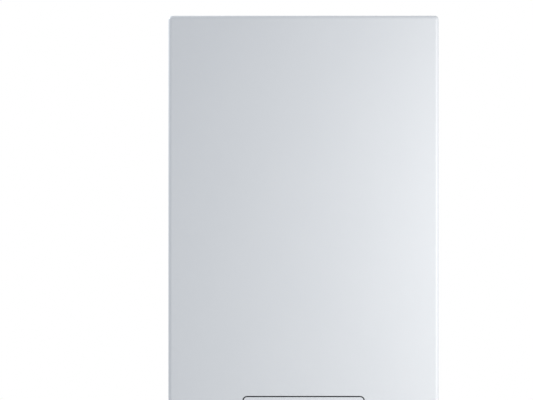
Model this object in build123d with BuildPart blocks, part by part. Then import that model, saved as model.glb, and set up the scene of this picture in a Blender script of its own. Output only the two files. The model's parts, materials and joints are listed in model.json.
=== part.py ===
from build123d import *
from math import cos, pi, radians, sin
import os

# A wall-hung electric boiler: a pale sheet-steel casing with a small fold-down control flap, hung on
# a wall rail, with its heater vessel, pump, expansion vessel, pipes and control box inside.
# Frame: X is width, the wall is the plane Y = 0 and the front faces -Y, Z is up. The origin is the
# middle of the wall screws. Depths are measured from the wall, heights from the casing's lower edge.
# All lengths are in millimetres, all angles in degrees.

# Casing
casing_width = 410.0
casing_height = 740.0
casing_depth = 310.0
hang_drop = 62.0          # from the casing's top down to the wall screws
edge_radius = 6.0         # bent edges of cover and panels
cover_sheet = 1.0
panel_sheet = 1.0
frame_sheet = 1.2
cover_return = 60.0       # how far the front cover wraps back along the sides
panel_gap = 2.0           # between the cover's rear edge and the side panels
fold_width = 10.0         # inward folds that stiffen the sheet edges
running_gap = 0.3         # free space between pieces that lie close
overrun = 5.0             # how far cuts run past the faces they open
front_radius = 5.5        # bend between the cover's front and its returns

half_width = casing_width / 2
top_z = hang_drop
base_z = hang_drop - casing_height
middle_z = (top_z + base_z) / 2
cover_rear = casing_depth - cover_return
panel_front = cover_rear - panel_gap

# Wall rail, hanger and back panel
rail_inset = 40.0         # rail's ends inside the casing's sides
rail_sheet = 2.0
rail_below = 22.0         # rail plate below the screw line
rail_above = 16.0         # rail plate above the screw line, up to its shelf
rail_shelf_depth = 9.0
rail_lip_height = 12.0
wall_screw_inset = 25.0   # screws inside the rail's ends
wall_hole_radius = 4.5
hanger_sheet = 1.5
hanger_inset = 15.0       # hanger's ends inside the rail's ends
hanger_flange = 22.0
back_depth = 11.0         # from the wall to the rear face of the back panel
back_inset = 7.0          # back panel edge inside the casing's outline
pad_radius = 14.0
pad_height = 62.0         # pads above the casing's lower edge
pad_inset = 55.0          # pads inside the casing's sides
panel_rear = 3.0          # side panels stop this far from the wall

# Cover pegs and snap studs
peg_radius = 3.0
peg_reach = 14.0
peg_edge_radius = 1.0
peg_clearance = 0.5
peg_inset = 55.0          # pegs inside the casing's sides
peg_edge = 5.5            # peg axis inside the casing's outline

# Flap opening, flap and its bezel
opening_width = 185.3
opening_height = 118.0
opening_sill = 46.0       # lower edge of the opening above the casing's lower edge
opening_radius = 7.0
flap_gap = 1.8            # dark line round the flap
flap_thickness = 2.0
flap_rim = 5.0            # depth of the stiffening rim behind the flap
flap_rim_inset = 6.0
flap_rim_wall = 1.6
flap_edge = 0.6           # softened front edge of the flap
flap_ear = 3.0
flap_ear_radius = 5.0
hinge_rise = 10.0         # hinge axis above the opening's sill
hinge_behind = 7.0        # hinge axis behind the flap's face
pin_radius = 1.5
pin_running = 0.05
pin_length = 9.0
bezel_wall = 2.5
bezel_clear = 1.6         # bezel's inside past the edge of the opening
bezel_flange = 7.0
bezel_flange_thickness = 1.5
bezel_length = 18.0       # from the casing's front to the bezel's rear

# Control box
box_side_gap = 15.0       # between the box and the casing's sides
box_low = 28.0
box_high = 192.0
box_setback = 22.0        # box's front behind the casing's front
box_depth = 70.0
box_wall = 2.5
box_lid = 2.5
lug_height = 34.0
lug_depth = 24.0

# Fascia and controls
fascia_width = 182.0
fascia_height = 114.0
fascia_thickness = 3.0
window_clearance = 2.5    # lid's window past the gauge
fascia_window_height = 96.0
display_width = 54.0
display_height = 28.0
display_rise = 26.0       # display above the fascia's middle
lens_thickness = 1.6
lens_step = 1.2
knob_radius = 16.0
knob_height = 9.0
knob_skirt = 2.0
knob_shaft_radius = 3.0
knob_side = 58.0
knob_rise = 25.0
knob_grip_width = 6.0
button_width = 12.0
button_height = 7.0
button_count = 4
button_pitch = 16.0
button_rise = 0.0
button_proud = 2.2
button_travel = 1.5
button_clearance = 0.35
button_flange = 1.0
rocker_width = 15.0
rocker_height = 21.0
rocker_drop = 27.0        # rocker below the fascia's middle
rocker_wall = 1.5
rocker_tilt = 10.0
gauge_radius = 18.5
gauge_rise = 25.0
led_radius = 1.5
led_pitch = 9.0
led_drop = 24.0
led_count = 5

# Heater vessel, its insulation and its electric elements
vessel_side_gap = 12.7    # between the insulation and the side panel
hydraulic_gap = 30.0      # vessel, pump and pipe axes behind the control box
vessel_radius = 60.0
vessel_wall = 2.0
vessel_low = 290.0        # vessel's foot above the casing's lower edge
vessel_top_gap = 90.0     # vessel's top below the casing's top
vessel_edge = 24.0
port_radius = 13.0
port_bore = 10.0
port_length = 12.0
outlet_drop = 32.0        # side outlet below the vessel's top
outlet_reach = 32.0
insulation_thickness = 11.0
insulation_gap = 0.3
insulation_low_trim = 38.0
insulation_high_trim = 56.0
insulation_split = 0.4
neck_radius = 36.0
neck_wall = 3.0
neck_height = 12.0
flange_radius = 48.0
collar_thickness = 5.0
flange_thickness = 7.0
gasket_thickness = 2.0
flange_bolt_inset = 7.5   # bolts' axes inside the flange's rim
flange_bolt_count = 6
flange_bolt_radius = 3.0
flange_bolt_across = 10.0
flange_bolt_head = 4.0
element_radius = 4.2
element_spread = 11.0     # half the width of each heater loop
element_ring = 19.0       # loops this far from the vessel's axis
element_foot_gap = 91.0   # loops' lowest tube above the vessel's foot
element_bend = 10.9
element_count = 3
element_stub = 16.0
bolt_past = 2.0           # flange bolts past the collar they are screwed into
cap_cable_radius = 6.0
cap_radius = 34.0
cap_height = 38.0
cap_wall = 1.8
cap_edge = 4.0
sensor_radius = 3.2
sensor_reach = 22.0
sensor_boss_radius = 7.0
sensor_boss_length = 7.0
sensor_across = 12.0
sensor_head = 6.0
sensor_turns = (-28.0, 28.0)
vent_radius = 13.0
vent_height = 46.0
vent_stub_radius = 7.0
vent_stub_rise = 8.0
vent_from_outlet = 17.0   # vent axis back from the outlet's mouth
vent_edge = 3.0
vent_cap_radius = 5.0
vent_cap_height = 8.0
vent_cap_roof = 2.0
vent_spigot_radius = 2.5
vent_cap_running = 0.06
shelf_sheet = 3.0
shelf_half_width = 30.0
shelf_low_rise = 30.0     # lower shelf above the vessel's foot
shelf_high_drop = 50.0    # upper shelf below the vessel's top

# Pipes and connections
pipe_radius = 11.0
pipe_bore = 10.0
pipe_bend = 24.0
flow_reach = 32.0         # flow pipe's axis beyond the outlet's mouth
flow_behind = 43.0        # flow pipe's drop behind the vessel's axis
flow_slope = 60.0         # how far the flow pipe drops while it runs back
return_inset = 59.0       # return pipe's axis inside the casing's side
thread_radius = 13.2      # three-quarter-inch pipe thread, outside
thread_length = 16.0
connection_drop = 34.0    # connections reach this far below the casing
hex_across = 32.0
hex_height = 11.0
nut_across = 34.0
nut_half = 8.0
pipe_clearance = 3.5

# Safety valve and its discharge pipe
valve_height = 112.0
valve_reach = 34.0        # valve axis left of the return pipe
valve_body_radius = 13.0
valve_body_height = 30.0
valve_stub_radius = 8.0
valve_stub_bore = 5.0
valve_boss_reach = 16.0   # flat mouth of the branch, from the return pipe's axis
valve_edge = 2.0
valve_cap_radius = 15.0
valve_cap_height = 14.0
valve_cap_flutes = 10
valve_flute_radius = 2.2
valve_spindle_radius = 3.0
valve_spindle_running = 0.06
discharge_radius = 7.5
discharge_bore = 6.5
discharge_sleeve = 10.0

# Pump
return_reach = 32.0       # return pipe's axis beyond the pump's port
pump_height = 240.0
volute_radius = 44.0
volute_half_depth = 22.0
volute_wall = 4.0
pump_reach = 62.0         # from the pump's axis to each port's mouth
motor_radius = 42.0
motor_length = 72.0
motor_wall = 3.0
motor_edge = 5.0
motor_rib_count = 6
motor_rib_pitch = 8.0
motor_rib_depth = 1.2
motor_rib_width = 2.5
motor_plug_radius = 9.0
motor_plug_height = 3.0
motor_box_width = 44.0
motor_box_height = 16.0
motor_box_depth = 40.0
impeller_radius = 33.0
impeller_thickness = 3.0
impeller_rear_gap = 5.0
blade_height = 8.0
blade_thickness = 2.0
blade_count = 6
blade_inner = 9.0
shaft_radius = 5.0
bearing_running = 0.05
bearing_boss_radius = 11.0
bearing_boss_length = 8.0
rotor_radius = 24.0
rotor_length = 36.0
rotor_gap = 8.0

# Expansion vessel
tank_side_gap = 12.0      # between the seam and the side panel
tank_drop = 215.0         # tank's axis below the casing's top
tank_spare_width = 118.0  # casing's width that the vessel's shell leaves free
tank_rear = 16.0
tank_gap = 4.7            # between the tank's front and the insulation
tank_wall = 1.4
tank_edge_share = 0.3125  # rounded rim, as a share of the tank's depth
tank_seam = 4.0
tank_seam_width = 3.0
tank_port_share = 0.23    # port behind the seam, as a share of the tank's depth
membrane_thickness = 1.5
tank_port_radius = 9.0
tank_port_length = 14.0
tank_valve_radius = 4.0
tank_valve_length = 12.0
tank_arm_sheet = 2.0
tank_arm_half_height = 32.0
tank_arm_lip = 8.0
tank_arm_past = 4.0
hose_radius = 6.5
hose_bore = 4.0
hose_bend = 40.0
hose_drop = 70.0
hose_tee_height = 160.0
hose_behind = 88.0        # hose's last bend behind the return pipe's axis
hose_spigot_length = 20.0
hose_stop = 2.0           # hose ends this far behind the return pipe
hose_spigot_bore = 2.6

# Cable glands
gland_bore = 8.0
gland_radius = 13.0
gland_nut_across = 32.0
gland_reach = 20.0
gland_nut_height = 5.0
gland_inside = 8.0
gland_edge = 3.0
gland_forward = 8.0       # glands in front of the pipe axes
gland_inset = 40.0        # first gland inside the box's end
gland_pitch = 38.0
gland_count = 3

# Inside the control box
lid_screw_radius = 2.0
lid_screw_head = 3.6
lid_screw_head_height = 2.2
lid_screw_length = 14.0
lid_post_radius = 4.5
lid_screw_inset = 9.0
board_setback = 12.0      # rear face of the control board behind the box's front
board_thickness = 1.6
board_width = 170.0
board_height = 100.0
board_post_radius = 3.0
board_post_side = 74.0
board_post_rise = 42.0
board_clearance = 0.8     # round what passes through the board
display_body_depth = 5.0
display_body_margin = 2.0
pot_size = 14.0
pot_height = 6.5
pot_running = 0.08
knob_running = 0.2        # round the knob shafts where they pass the fascia
knob_lift = 0.4           # knob skirt off the fascia
button_stem_radius = 1.6
switch_size = 6.0
switch_height = 2.6
rocker_bezel = 1.2
rocker_flange = 2.0
rocker_pivot_behind = 4.0
rocker_pin_radius = 1.5
rocker_front_half = 9.4
rocker_back_half = 7.6
rocker_nose = 5.6         # rocker's ends in front of its pivot
rocker_dip = 3.9          # rocker's middle in front of its pivot
rocker_back = 4.0
rocker_side_gap = 0.35
rocker_body_depth = 22.0
gauge_wall = 1.5
gauge_ring_width = 2.0
gauge_ring_height = 1.6
gauge_length = 27.0
gauge_post_radius = 6.0   # movement inside the gauge
gauge_post_gap = 2.0      # between the movement and the dial
gauge_tube_radius = 1.6
gauge_tube_bore = 0.8
gauge_tube_bend = 6.0
gauge_tube_hole = 3.0
gauge_tube_height = 150.0
gauge_tube_behind = 9.0   # tube's cross run in front of the return pipe
dial_behind = 4.2         # dial face behind the fascia's front
dial_thickness = 0.8
needle_length = 12.5
needle_tail = 4.0
needle_width = 1.4        # half widths of the pointer at its tail and its tip
needle_tip_width = 0.35
needle_thickness = 0.6
needle_lift = 0.8
needle_hub_radius = 2.2
needle_hub_height = 1.8
needle_running = 0.05
needle_shaft_radius = 0.7
needle_shaft_length = 9.0
gauge_lens_thickness = 1.2
needle_rest = 225.0       # pointer at zero, measured from +X towards +Z as seen from the front
rail_height_in_box = 52.0 # mounting rail above the box's floor
rail_strip_width = 35.0
rail_strip_depth = 7.5
rail_strip_sheet = 1.0
rail_strip_flange = 5.0
rail_strip_inset = 18.0
contactor_width = 34.0
contactor_height = 58.0
contactor_depth = 30.0
contactor_inset = 52.0    # last contactor's middle inside the box's end
contactor_pitch = 38.0
contactor_count = 3
contactor_step = 10.0
contactor_ledge = 12.0
terminal_count = 5
terminal_pitch = 12.0
terminal_height = 44.0
terminal_depth = 26.0
terminal_inset = 32.0
terminal_screw_radius = 2.6
terminal_screw_depth = 6.0
terminal_screw_rise = 12.0
terminal_slot = 1.0
power_board_low = 106.0
power_board_high = 156.0
power_board_inset = 14.0
power_board_gap = 30.0    # board's end left of the gauge's axis
power_board_lift = 5.0
relay_width = 19.0
relay_height = 15.0
relay_depth = 16.0
relay_pitch = 24.0
relay_count = 4
relay_inset = 16.0
transformer_width = 34.0
transformer_height = 30.0
transformer_depth = 24.0
transformer_inset = 56.0
capacitor_radius = 6.0
capacitor_depth = 20.0
capacitor_inset = 20.0
tray_cable_radius = 8.0

box_half_width = half_width - box_side_gap
box_front = casing_depth - box_setback
box_rear = box_front - box_depth
board_depth = box_front - board_setback
bezel_rear_depth = casing_depth - bezel_length
hydraulic_depth = box_rear - hydraulic_gap
shell_thickness = insulation_gap + insulation_thickness
vessel_x = -half_width + panel_sheet + vessel_side_gap + shell_thickness + vessel_radius
outlet_mouth = vessel_x + vessel_radius + outlet_reach
flow_x = outlet_mouth + flow_reach
flow_depth = hydraulic_depth - flow_behind
return_x = half_width - return_inset
pump_x = return_x - return_reach - pump_reach
gland_row = [-box_half_width + gland_inset + number * gland_pitch for number in range(gland_count)]
floor_z = base_z + back_inset + frame_sheet
pipe_z = base_z - connection_drop


def add_block(x, depth, z, mode=Mode.ADD):
    # A block between two X values, two depths from the wall and two Z values.
    with Locations((min(x), -max(depth), min(z))):
        Box(abs(x[1] - x[0]), abs(depth[1] - depth[0]), abs(z[1] - z[0]),
            align=(Align.MIN, Align.MIN, Align.MIN), mode=mode)


def add_rod(start, direction, radius, length, mode=Mode.ADD):
    # A round bar from a point along a direction.
    with Locations(Plane(origin=start, z_dir=direction)):
        Cylinder(radius, length, align=(Align.CENTER, Align.CENTER, Align.MIN), mode=mode)


def add_hex(start, direction, across, length):
    # A hexagon bar, given across its flats.
    with BuildSketch(Plane(origin=start, z_dir=direction)) as flats:
        RegularPolygon(across / 2, 6, major_radius=False)
    extrude(flats.sketch, amount=length)


def bent_tube(points, bend, radius, bore):
    # A tube of constant bore along straight runs joined by arcs.
    with BuildPart() as tube:
        with BuildLine() as route:
            FilletPolyline(*points, radius=bend)
        with BuildSketch(Plane(origin=route.line @ 0, z_dir=route.line % 0)):
            Circle(radius)
            if bore:
                Circle(bore, mode=Mode.SUBTRACT)
        sweep(path=route.line)
    return tube.part


def outline_strip(inset, depth, thickness, x_low, x_high):
    # The slice of the casing's rounded outline, inset from it, that lies between two X values.
    with BuildPart() as strip:
        with BuildSketch(Plane.XZ.offset(depth)):
            with Locations((0, middle_z)):
                RectangleRounded(casing_width, casing_height, edge_radius)
                RectangleRounded(casing_width - 2 * inset, casing_height - 2 * inset,
                                 max(edge_radius - inset, panel_sheet), mode=Mode.SUBTRACT)
            with Locations(((x_low + x_high) / 2, middle_z)):
                Rectangle(x_high - x_low, casing_height, mode=Mode.INTERSECT)
        extrude(amount=thickness)
    return strip.part


rail_width = casing_width - 2 * rail_inset
wall_screw_spacing = rail_width - 2 * wall_screw_inset
hanger_width = rail_width - 2 * hanger_inset

# Wall rail: a plate with a shelf and an upturned lip that carries the boiler
with BuildPart() as wall_rail:
    add_block((-rail_width / 2, rail_width / 2), (0, rail_sheet), (-rail_below, rail_above))
    add_block((-rail_width / 2, rail_width / 2), (0, rail_shelf_depth),
              (rail_above - rail_sheet, rail_above))
    add_block((-rail_width / 2, rail_width / 2),
              (rail_shelf_depth - rail_sheet, rail_shelf_depth),
              (rail_above - rail_sheet, rail_above + rail_lip_height))
    with BuildSketch(Plane.XZ.offset(-overrun)):
        with GridLocations(wall_screw_spacing, 0, 2, 1):
            Circle(wall_hole_radius)
    extrude(amount=rail_sheet + 2 * overrun, mode=Mode.SUBTRACT)
wall_rail.part.label = "wall_rail"

# Back panel: the sheet that carries everything, with folded edges and a raised strip that closes
# it up to the roof. A Z-shaped hanger strip welded to its back drops behind the rail's lip.
hanger_lip_depth = (rail_shelf_depth - hanger_sheet) / 2
hanger_seat = rail_above + rail_lip_height + running_gap
back_half_width = half_width - panel_sheet - running_gap
corner_start = half_width - edge_radius
with BuildPart() as back_panel:
    add_block((-hanger_width / 2, hanger_width / 2),
              (hanger_lip_depth, hanger_lip_depth + hanger_sheet),
              (rail_above + running_gap, hanger_seat + hanger_sheet))
    add_block((-hanger_width / 2, hanger_width / 2), (hanger_lip_depth, back_depth),
              (hanger_seat, hanger_seat + hanger_sheet))
    add_block((-hanger_width / 2, hanger_width / 2), (back_depth - hanger_sheet, back_depth),
              (hanger_seat, hanger_seat + hanger_flange))
    add_block((-back_half_width, back_half_width), (back_depth, back_depth + frame_sheet),
              (base_z + back_inset, top_z - back_inset))
    for side in (-1, 1):
        add_block((side * back_half_width, side * (back_half_width - frame_sheet)),
                  (back_depth, back_depth + 2 * fold_width),
                  (base_z + back_inset, top_z - back_inset))
    for edge_z, inward in ((base_z + back_inset, 1), (top_z - back_inset, -1)):
        add_block((-back_half_width, back_half_width), (back_depth, back_depth + 2 * fold_width),
                  (edge_z, edge_z + inward * frame_sheet))
    add_block((-corner_start, corner_start), (back_depth, back_depth + frame_sheet),
              (top_z - back_inset, top_z - panel_sheet - running_gap))
back_panel.part.label = "back_panel"

# Two rubber pads that hold the lower edge off the wall
with BuildPart() as wall_pads:
    for side in (-1, 1):
        add_rod((side * (half_width - pad_inset), -back_depth, base_z + pad_height), (0, 1, 0),
                pad_radius, back_depth)
wall_pads.part.label = "wall_pads"


def side_panel(side):
    # A C-shaped sheet: the side, its rounded corners and short returns, with a folded front edge.
    inner = half_width - edge_radius - fold_width
    low, high = sorted((side * inner, side * (half_width + overrun)))
    with BuildPart() as panel:
        add(outline_strip(panel_sheet, panel_rear, panel_front - panel_rear, low, high))
        add(outline_strip(fold_width, panel_front - panel_sheet, panel_sheet, low, high))
    return panel


side_panel_left = side_panel(-1)
side_panel_left.part.label = "side_panel_left"
side_panel_right = side_panel(1)
side_panel_right.part.label = "side_panel_right"

peg_side = half_width - peg_inset

# Top panel: closes the roof between the side panels, with a folded front edge
panel_inner = half_width - edge_radius - fold_width - running_gap
with BuildPart() as top_panel:
    add_block((-panel_inner, panel_inner), (panel_rear, panel_front), (top_z - panel_sheet, top_z))
    add_block((-panel_inner, panel_inner), (panel_front - panel_sheet, panel_front),
              (top_z - fold_width, top_z))
    for side in (-1, 1):
        add_rod((side * peg_side, -panel_front - overrun, top_z - peg_edge), (0, 1, 0),
                peg_radius, 2 * overrun, mode=Mode.SUBTRACT)
top_panel.part.label = "top_panel"

# Bottom panel: the floor that the pipes and cables pass through
floor_half_width = back_half_width - frame_sheet - running_gap
floor_rear = back_depth + frame_sheet + running_gap
discharge_x = return_x - valve_reach
pipe_holes = (
    (flow_x, flow_depth, pipe_radius + pipe_clearance),
    (return_x, hydraulic_depth, pipe_radius + pipe_clearance),
    (discharge_x, hydraulic_depth, discharge_radius + pipe_clearance),
)
gland_places = [(gland_x, hydraulic_depth + gland_forward) for gland_x in gland_row]
with BuildPart() as bottom_panel:
    add_block((-floor_half_width, floor_half_width),
              (floor_rear, panel_front - panel_sheet - running_gap),
              (floor_z, floor_z + panel_sheet))
    add_block((-panel_inner, panel_inner), (floor_rear, panel_front),
              (floor_z, floor_z + panel_sheet))
    add_block((-panel_inner, panel_inner), (panel_front - panel_sheet, panel_front),
              (base_z + panel_sheet, floor_z + panel_sheet))
    for hole_x, hole_depth, hole_radius in pipe_holes:
        add_rod((hole_x, -hole_depth, floor_z - overrun), (0, 0, 1), hole_radius,
                panel_sheet + 2 * overrun, mode=Mode.SUBTRACT)
    for gland_x, gland_y_depth in gland_places:
        add_rod((gland_x, -gland_y_depth, floor_z - overrun), (0, 0, 1), gland_radius,
                panel_sheet + 2 * overrun, mode=Mode.SUBTRACT)
    for side in (-1, 1):
        add_rod((side * peg_side, -panel_front - overrun, base_z + peg_edge), (0, 1, 0),
                peg_radius, 2 * overrun, mode=Mode.SUBTRACT)
bottom_panel.part.label = "bottom_panel"

# Four pegs on the folded front edges that the front cover pushes onto
with BuildPart() as cover_pegs:
    for side in (-1, 1):
        for peg_z in (base_z + peg_edge, top_z - peg_edge):
            add_rod((side * peg_side, -(panel_front - 2 * panel_sheet), peg_z), (0, -1, 0),
                    peg_radius, peg_reach)
    fillet(edges().filter_by(GeomType.CIRCLE).group_by(Axis.Y)[0], peg_edge_radius)
cover_pegs.part.label = "cover_pegs"

# Front cover: a pressed sheet shell with rounded front edges and a stiffening rear lip
opening_middle = base_z + opening_sill + opening_height / 2
with BuildPart() as front_cover:
    with BuildSketch(Plane.XZ.offset(cover_rear)):
        with Locations((0, middle_z)):
            RectangleRounded(casing_width, casing_height, edge_radius)
    extrude(amount=cover_return)
    fillet(faces().sort_by(Axis.Y)[0].edges(), front_radius)
    offset(amount=-cover_sheet, openings=faces().sort_by(Axis.Y)[-1])
    add(outline_strip(fold_width, cover_rear, cover_sheet, -half_width, half_width))
    with BuildSketch(Plane.XZ.offset(casing_depth - overrun)):
        with Locations((0, opening_middle)):
            RectangleRounded(opening_width, opening_height, opening_radius)
    extrude(amount=2 * overrun, mode=Mode.SUBTRACT)
    for side in (-1, 1):
        for peg_z in (base_z + peg_edge, top_z - peg_edge):
            add_rod((side * peg_side, -cover_rear + overrun, peg_z), (0, -1, 0),
                    peg_radius + peg_clearance, 2 * overrun, mode=Mode.SUBTRACT)
front_cover.part.label = "front_cover"

# Bezel: a moulded tunnel behind the opening, with bores for the flap's hinge pins
hinge_z = base_z + opening_sill + hinge_rise
hinge_depth = casing_depth - hinge_behind
bezel_front = casing_depth - cover_sheet
bezel_inner_width = opening_width + 2 * bezel_clear
bezel_inner_height = opening_height + 2 * bezel_clear
bezel_side = bezel_inner_width / 2
with BuildPart() as flap_bezel:
    with BuildSketch(Plane.XZ.offset(bezel_rear_depth)):
        with Locations((0, opening_middle)):
            RectangleRounded(bezel_inner_width + 2 * bezel_wall, bezel_inner_height + 2 * bezel_wall,
                             opening_radius + bezel_wall)
    extrude(amount=bezel_front - bezel_rear_depth)
    with BuildSketch(Plane.XZ.offset(bezel_front - bezel_flange_thickness)):
        with Locations((0, opening_middle)):
            RectangleRounded(bezel_inner_width + 2 * bezel_flange, bezel_inner_height + 2 * bezel_flange,
                             opening_radius + bezel_flange)
    extrude(amount=bezel_flange_thickness)
    with BuildSketch(Plane.XZ.offset(bezel_rear_depth - overrun)):
        with Locations((0, opening_middle)):
            RectangleRounded(bezel_inner_width, bezel_inner_height, opening_radius)
    extrude(amount=casing_depth - bezel_rear_depth + 2 * overrun, mode=Mode.SUBTRACT)
    add_rod((-half_width, -hinge_depth, hinge_z), (1, 0, 0), pin_radius, casing_width,
            mode=Mode.SUBTRACT)
flap_bezel.part.label = "flap_bezel"

# Hinge pins pressed into the bezel's side walls
with BuildPart() as flap_pins:
    for side in (-1, 1):
        add_rod((side * (bezel_side + bezel_wall), -hinge_depth, hinge_z), (-side, 0, 0),
                pin_radius, pin_length)
flap_pins.part.label = "flap_pins"

rim_depth = casing_depth - flap_thickness - flap_rim

# Control flap: a flat plate flush with the cover, a rim behind it and two hinge ears
flap_width = opening_width - 2 * flap_gap
flap_height = opening_height - 2 * flap_gap
rim_width = flap_width - 2 * flap_rim_inset
rim_height = flap_height - 2 * flap_rim_inset
with BuildPart() as control_flap:
    with BuildSketch(Plane.XZ.offset(casing_depth - flap_thickness)):
        with Locations((0, opening_middle)):
            RectangleRounded(flap_width, flap_height, opening_radius - flap_gap)
    extrude(amount=flap_thickness)
    fillet(faces().sort_by(Axis.Y)[0].edges(), flap_edge)
    with BuildSketch(Plane.XZ.offset(rim_depth)):
        with Locations((0, opening_middle)):
            Rectangle(rim_width, rim_height)
            Rectangle(rim_width - 2 * flap_rim_wall, rim_height - 2 * flap_rim_wall,
                      mode=Mode.SUBTRACT)
    extrude(amount=flap_rim)
    for side in (-1, 1):
        ear_outer = side * flap_width / 2
        ear_inner = side * (flap_width / 2 - flap_ear)
        add_block((ear_inner, ear_outer), (hinge_depth, casing_depth - flap_thickness),
                  (hinge_z - flap_ear_radius, hinge_z + flap_ear_radius))
        add_rod((ear_outer, -hinge_depth, hinge_z), (-side, 0, 0), flap_ear_radius, flap_ear)
    add_rod((-half_width, -hinge_depth, hinge_z), (1, 0, 0), pin_radius + pin_running,
            casing_width, mode=Mode.SUBTRACT)
control_flap.part.label = "control_flap"

# Control box: an open-fronted moulded box with corner posts for the lid screws and a lug on each
# side that reaches the side panel
tube_exit_height = opening_sill + opening_height / 2 + gauge_rise
box_floor_z = base_z + box_low
box_roof_z = base_z + box_high
lug_z = (box_floor_z + box_roof_z) / 2
lid_rear = box_front - box_lid
window_half_width = knob_side + gauge_radius + window_clearance
lid_screw_places = [(side * (box_half_width - lid_screw_inset), screw_z)
                    for side in (-1, 1)
                    for screw_z in (box_floor_z + lid_screw_inset, box_roof_z - lid_screw_inset)]
with BuildPart() as control_box:
    add_block((-box_half_width, box_half_width), (box_rear, lid_rear), (box_floor_z, box_roof_z))
    fillet(edges().filter_by(Axis.Y), box_wall)
    add_block((-box_half_width + box_wall, box_half_width - box_wall),
              (box_rear + box_wall, lid_rear + overrun),
              (box_floor_z + box_wall, box_roof_z - box_wall), mode=Mode.SUBTRACT)
    for post_x, post_z in lid_screw_places:
        add_rod((post_x, -box_rear - box_wall, post_z), (0, -1, 0), lid_post_radius,
                lid_rear - box_rear - box_wall)
        add_rod((post_x, -lid_rear - overrun, post_z), (0, 1, 0), lid_screw_radius,
                lid_screw_length + overrun, mode=Mode.SUBTRACT)
    for side in (-1, 1):
        wall_face = side * (half_width - panel_sheet)
        add_block((side * (box_half_width - box_wall), wall_face),
                  (box_rear + lug_depth - box_wall, box_rear + lug_depth),
                  (lug_z - lug_height / 2, lug_z + lug_height / 2))
        add_block((wall_face, wall_face - side * box_wall), (box_rear, box_rear + lug_depth),
                  (lug_z - lug_height / 2, lug_z + lug_height / 2))
    for hole_x in gland_row:
        add_rod((hole_x, -(box_rear + lid_rear) / 2, box_floor_z - overrun), (0, 0, 1),
                tray_cable_radius, box_wall + 2 * overrun, mode=Mode.SUBTRACT)
    add_rod((knob_side, -box_rear + overrun, base_z + tube_exit_height), (0, -1, 0),
            gauge_tube_hole, box_wall + 2 * overrun, mode=Mode.SUBTRACT)
control_box.part.label = "control_box"

# Lid of the control box, with the window that the fascia closes
with BuildPart() as control_box_lid:
    add_block((-box_half_width, box_half_width), (lid_rear, box_front), (box_floor_z, box_roof_z))
    fillet(edges().filter_by(Axis.Y), box_wall)
    add_block((-window_half_width, window_half_width),
              (lid_rear - overrun, box_front + overrun),
              (opening_middle - fascia_window_height / 2, opening_middle + fascia_window_height / 2),
              mode=Mode.SUBTRACT)
    for post_x, post_z in lid_screw_places:
        add_rod((post_x, -box_front - overrun, post_z), (0, 1, 0), lid_screw_radius,
                box_lid + 2 * overrun, mode=Mode.SUBTRACT)
control_box_lid.part.label = "control_box_lid"

with BuildPart() as lid_screws:
    for post_x, post_z in lid_screw_places:
        add_rod((post_x, -box_front, post_z), (0, 1, 0), lid_screw_radius, lid_screw_length)
        add_rod((post_x, -box_front, post_z), (0, -1, 0), lid_screw_head, lid_screw_head_height)
lid_screws.part.label = "lid_screws"

# Fascia: the control plate, with an opening for each control and four posts for the board
fascia_front = box_front + fascia_thickness
board_front = board_depth + board_thickness
display_z = opening_middle + display_rise
heating_knob_z = opening_middle + knob_rise
water_knob_z = opening_middle - knob_rise
gauge_z = base_z + tube_exit_height
rocker_z = opening_middle - rocker_drop
button_z = opening_middle + button_rise
button_xs = [(number - (button_count - 1) / 2) * button_pitch for number in range(button_count)]
led_xs = [(number - (led_count - 1) / 2) * led_pitch for number in range(led_count)]
led_z = opening_middle - led_drop
post_places = [(side * board_post_side, opening_middle + up * board_post_rise)
               for side in (-1, 1) for up in (-1, 1)]
rocker_outer_width = rocker_width + 2 * rocker_wall
rocker_outer_height = rocker_height + 2 * rocker_wall
with BuildPart() as control_fascia:
    with BuildSketch(Plane.XZ.offset(box_front)):
        with Locations((0, opening_middle)):
            RectangleRounded(fascia_width, fascia_height, opening_radius)
        with Locations((0, display_z)):
            Rectangle(display_width, display_height, mode=Mode.SUBTRACT)
        with Locations((-knob_side, heating_knob_z), (-knob_side, water_knob_z)):
            Circle(knob_shaft_radius + knob_running, mode=Mode.SUBTRACT)
        with Locations(*[(button_x, button_z) for button_x in button_xs]):
            Rectangle(button_width + 2 * button_clearance, button_height + 2 * button_clearance,
                      mode=Mode.SUBTRACT)
        with Locations((knob_side, gauge_z)):
            Circle(gauge_radius, mode=Mode.SUBTRACT)
        with Locations((knob_side, rocker_z)):
            Rectangle(rocker_outer_width, rocker_outer_height, mode=Mode.SUBTRACT)
        with Locations(*[(led_x, led_z) for led_x in led_xs]):
            Circle(led_radius, mode=Mode.SUBTRACT)
    extrude(amount=fascia_thickness)
    for post_x, post_z in post_places:
        add_rod((post_x, -board_front, post_z), (0, -1, 0), board_post_radius,
                box_front - board_front)
control_fascia.part.label = "control_fascia"

# Control board, cut away round the gauge and the rocker switch
with BuildPart() as control_board:
    with BuildSketch(Plane.XZ.offset(board_depth)):
        with Locations((0, opening_middle)):
            Rectangle(board_width, board_height)
        with Locations((knob_side, gauge_z)):
            Circle(gauge_radius + board_clearance, mode=Mode.SUBTRACT)
        with Locations((knob_side, rocker_z)):
            Rectangle(rocker_outer_width + 2 * board_clearance,
                      rocker_outer_height + 2 * board_clearance, mode=Mode.SUBTRACT)
    extrude(amount=board_thickness)
control_board.part.label = "control_board"

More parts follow.
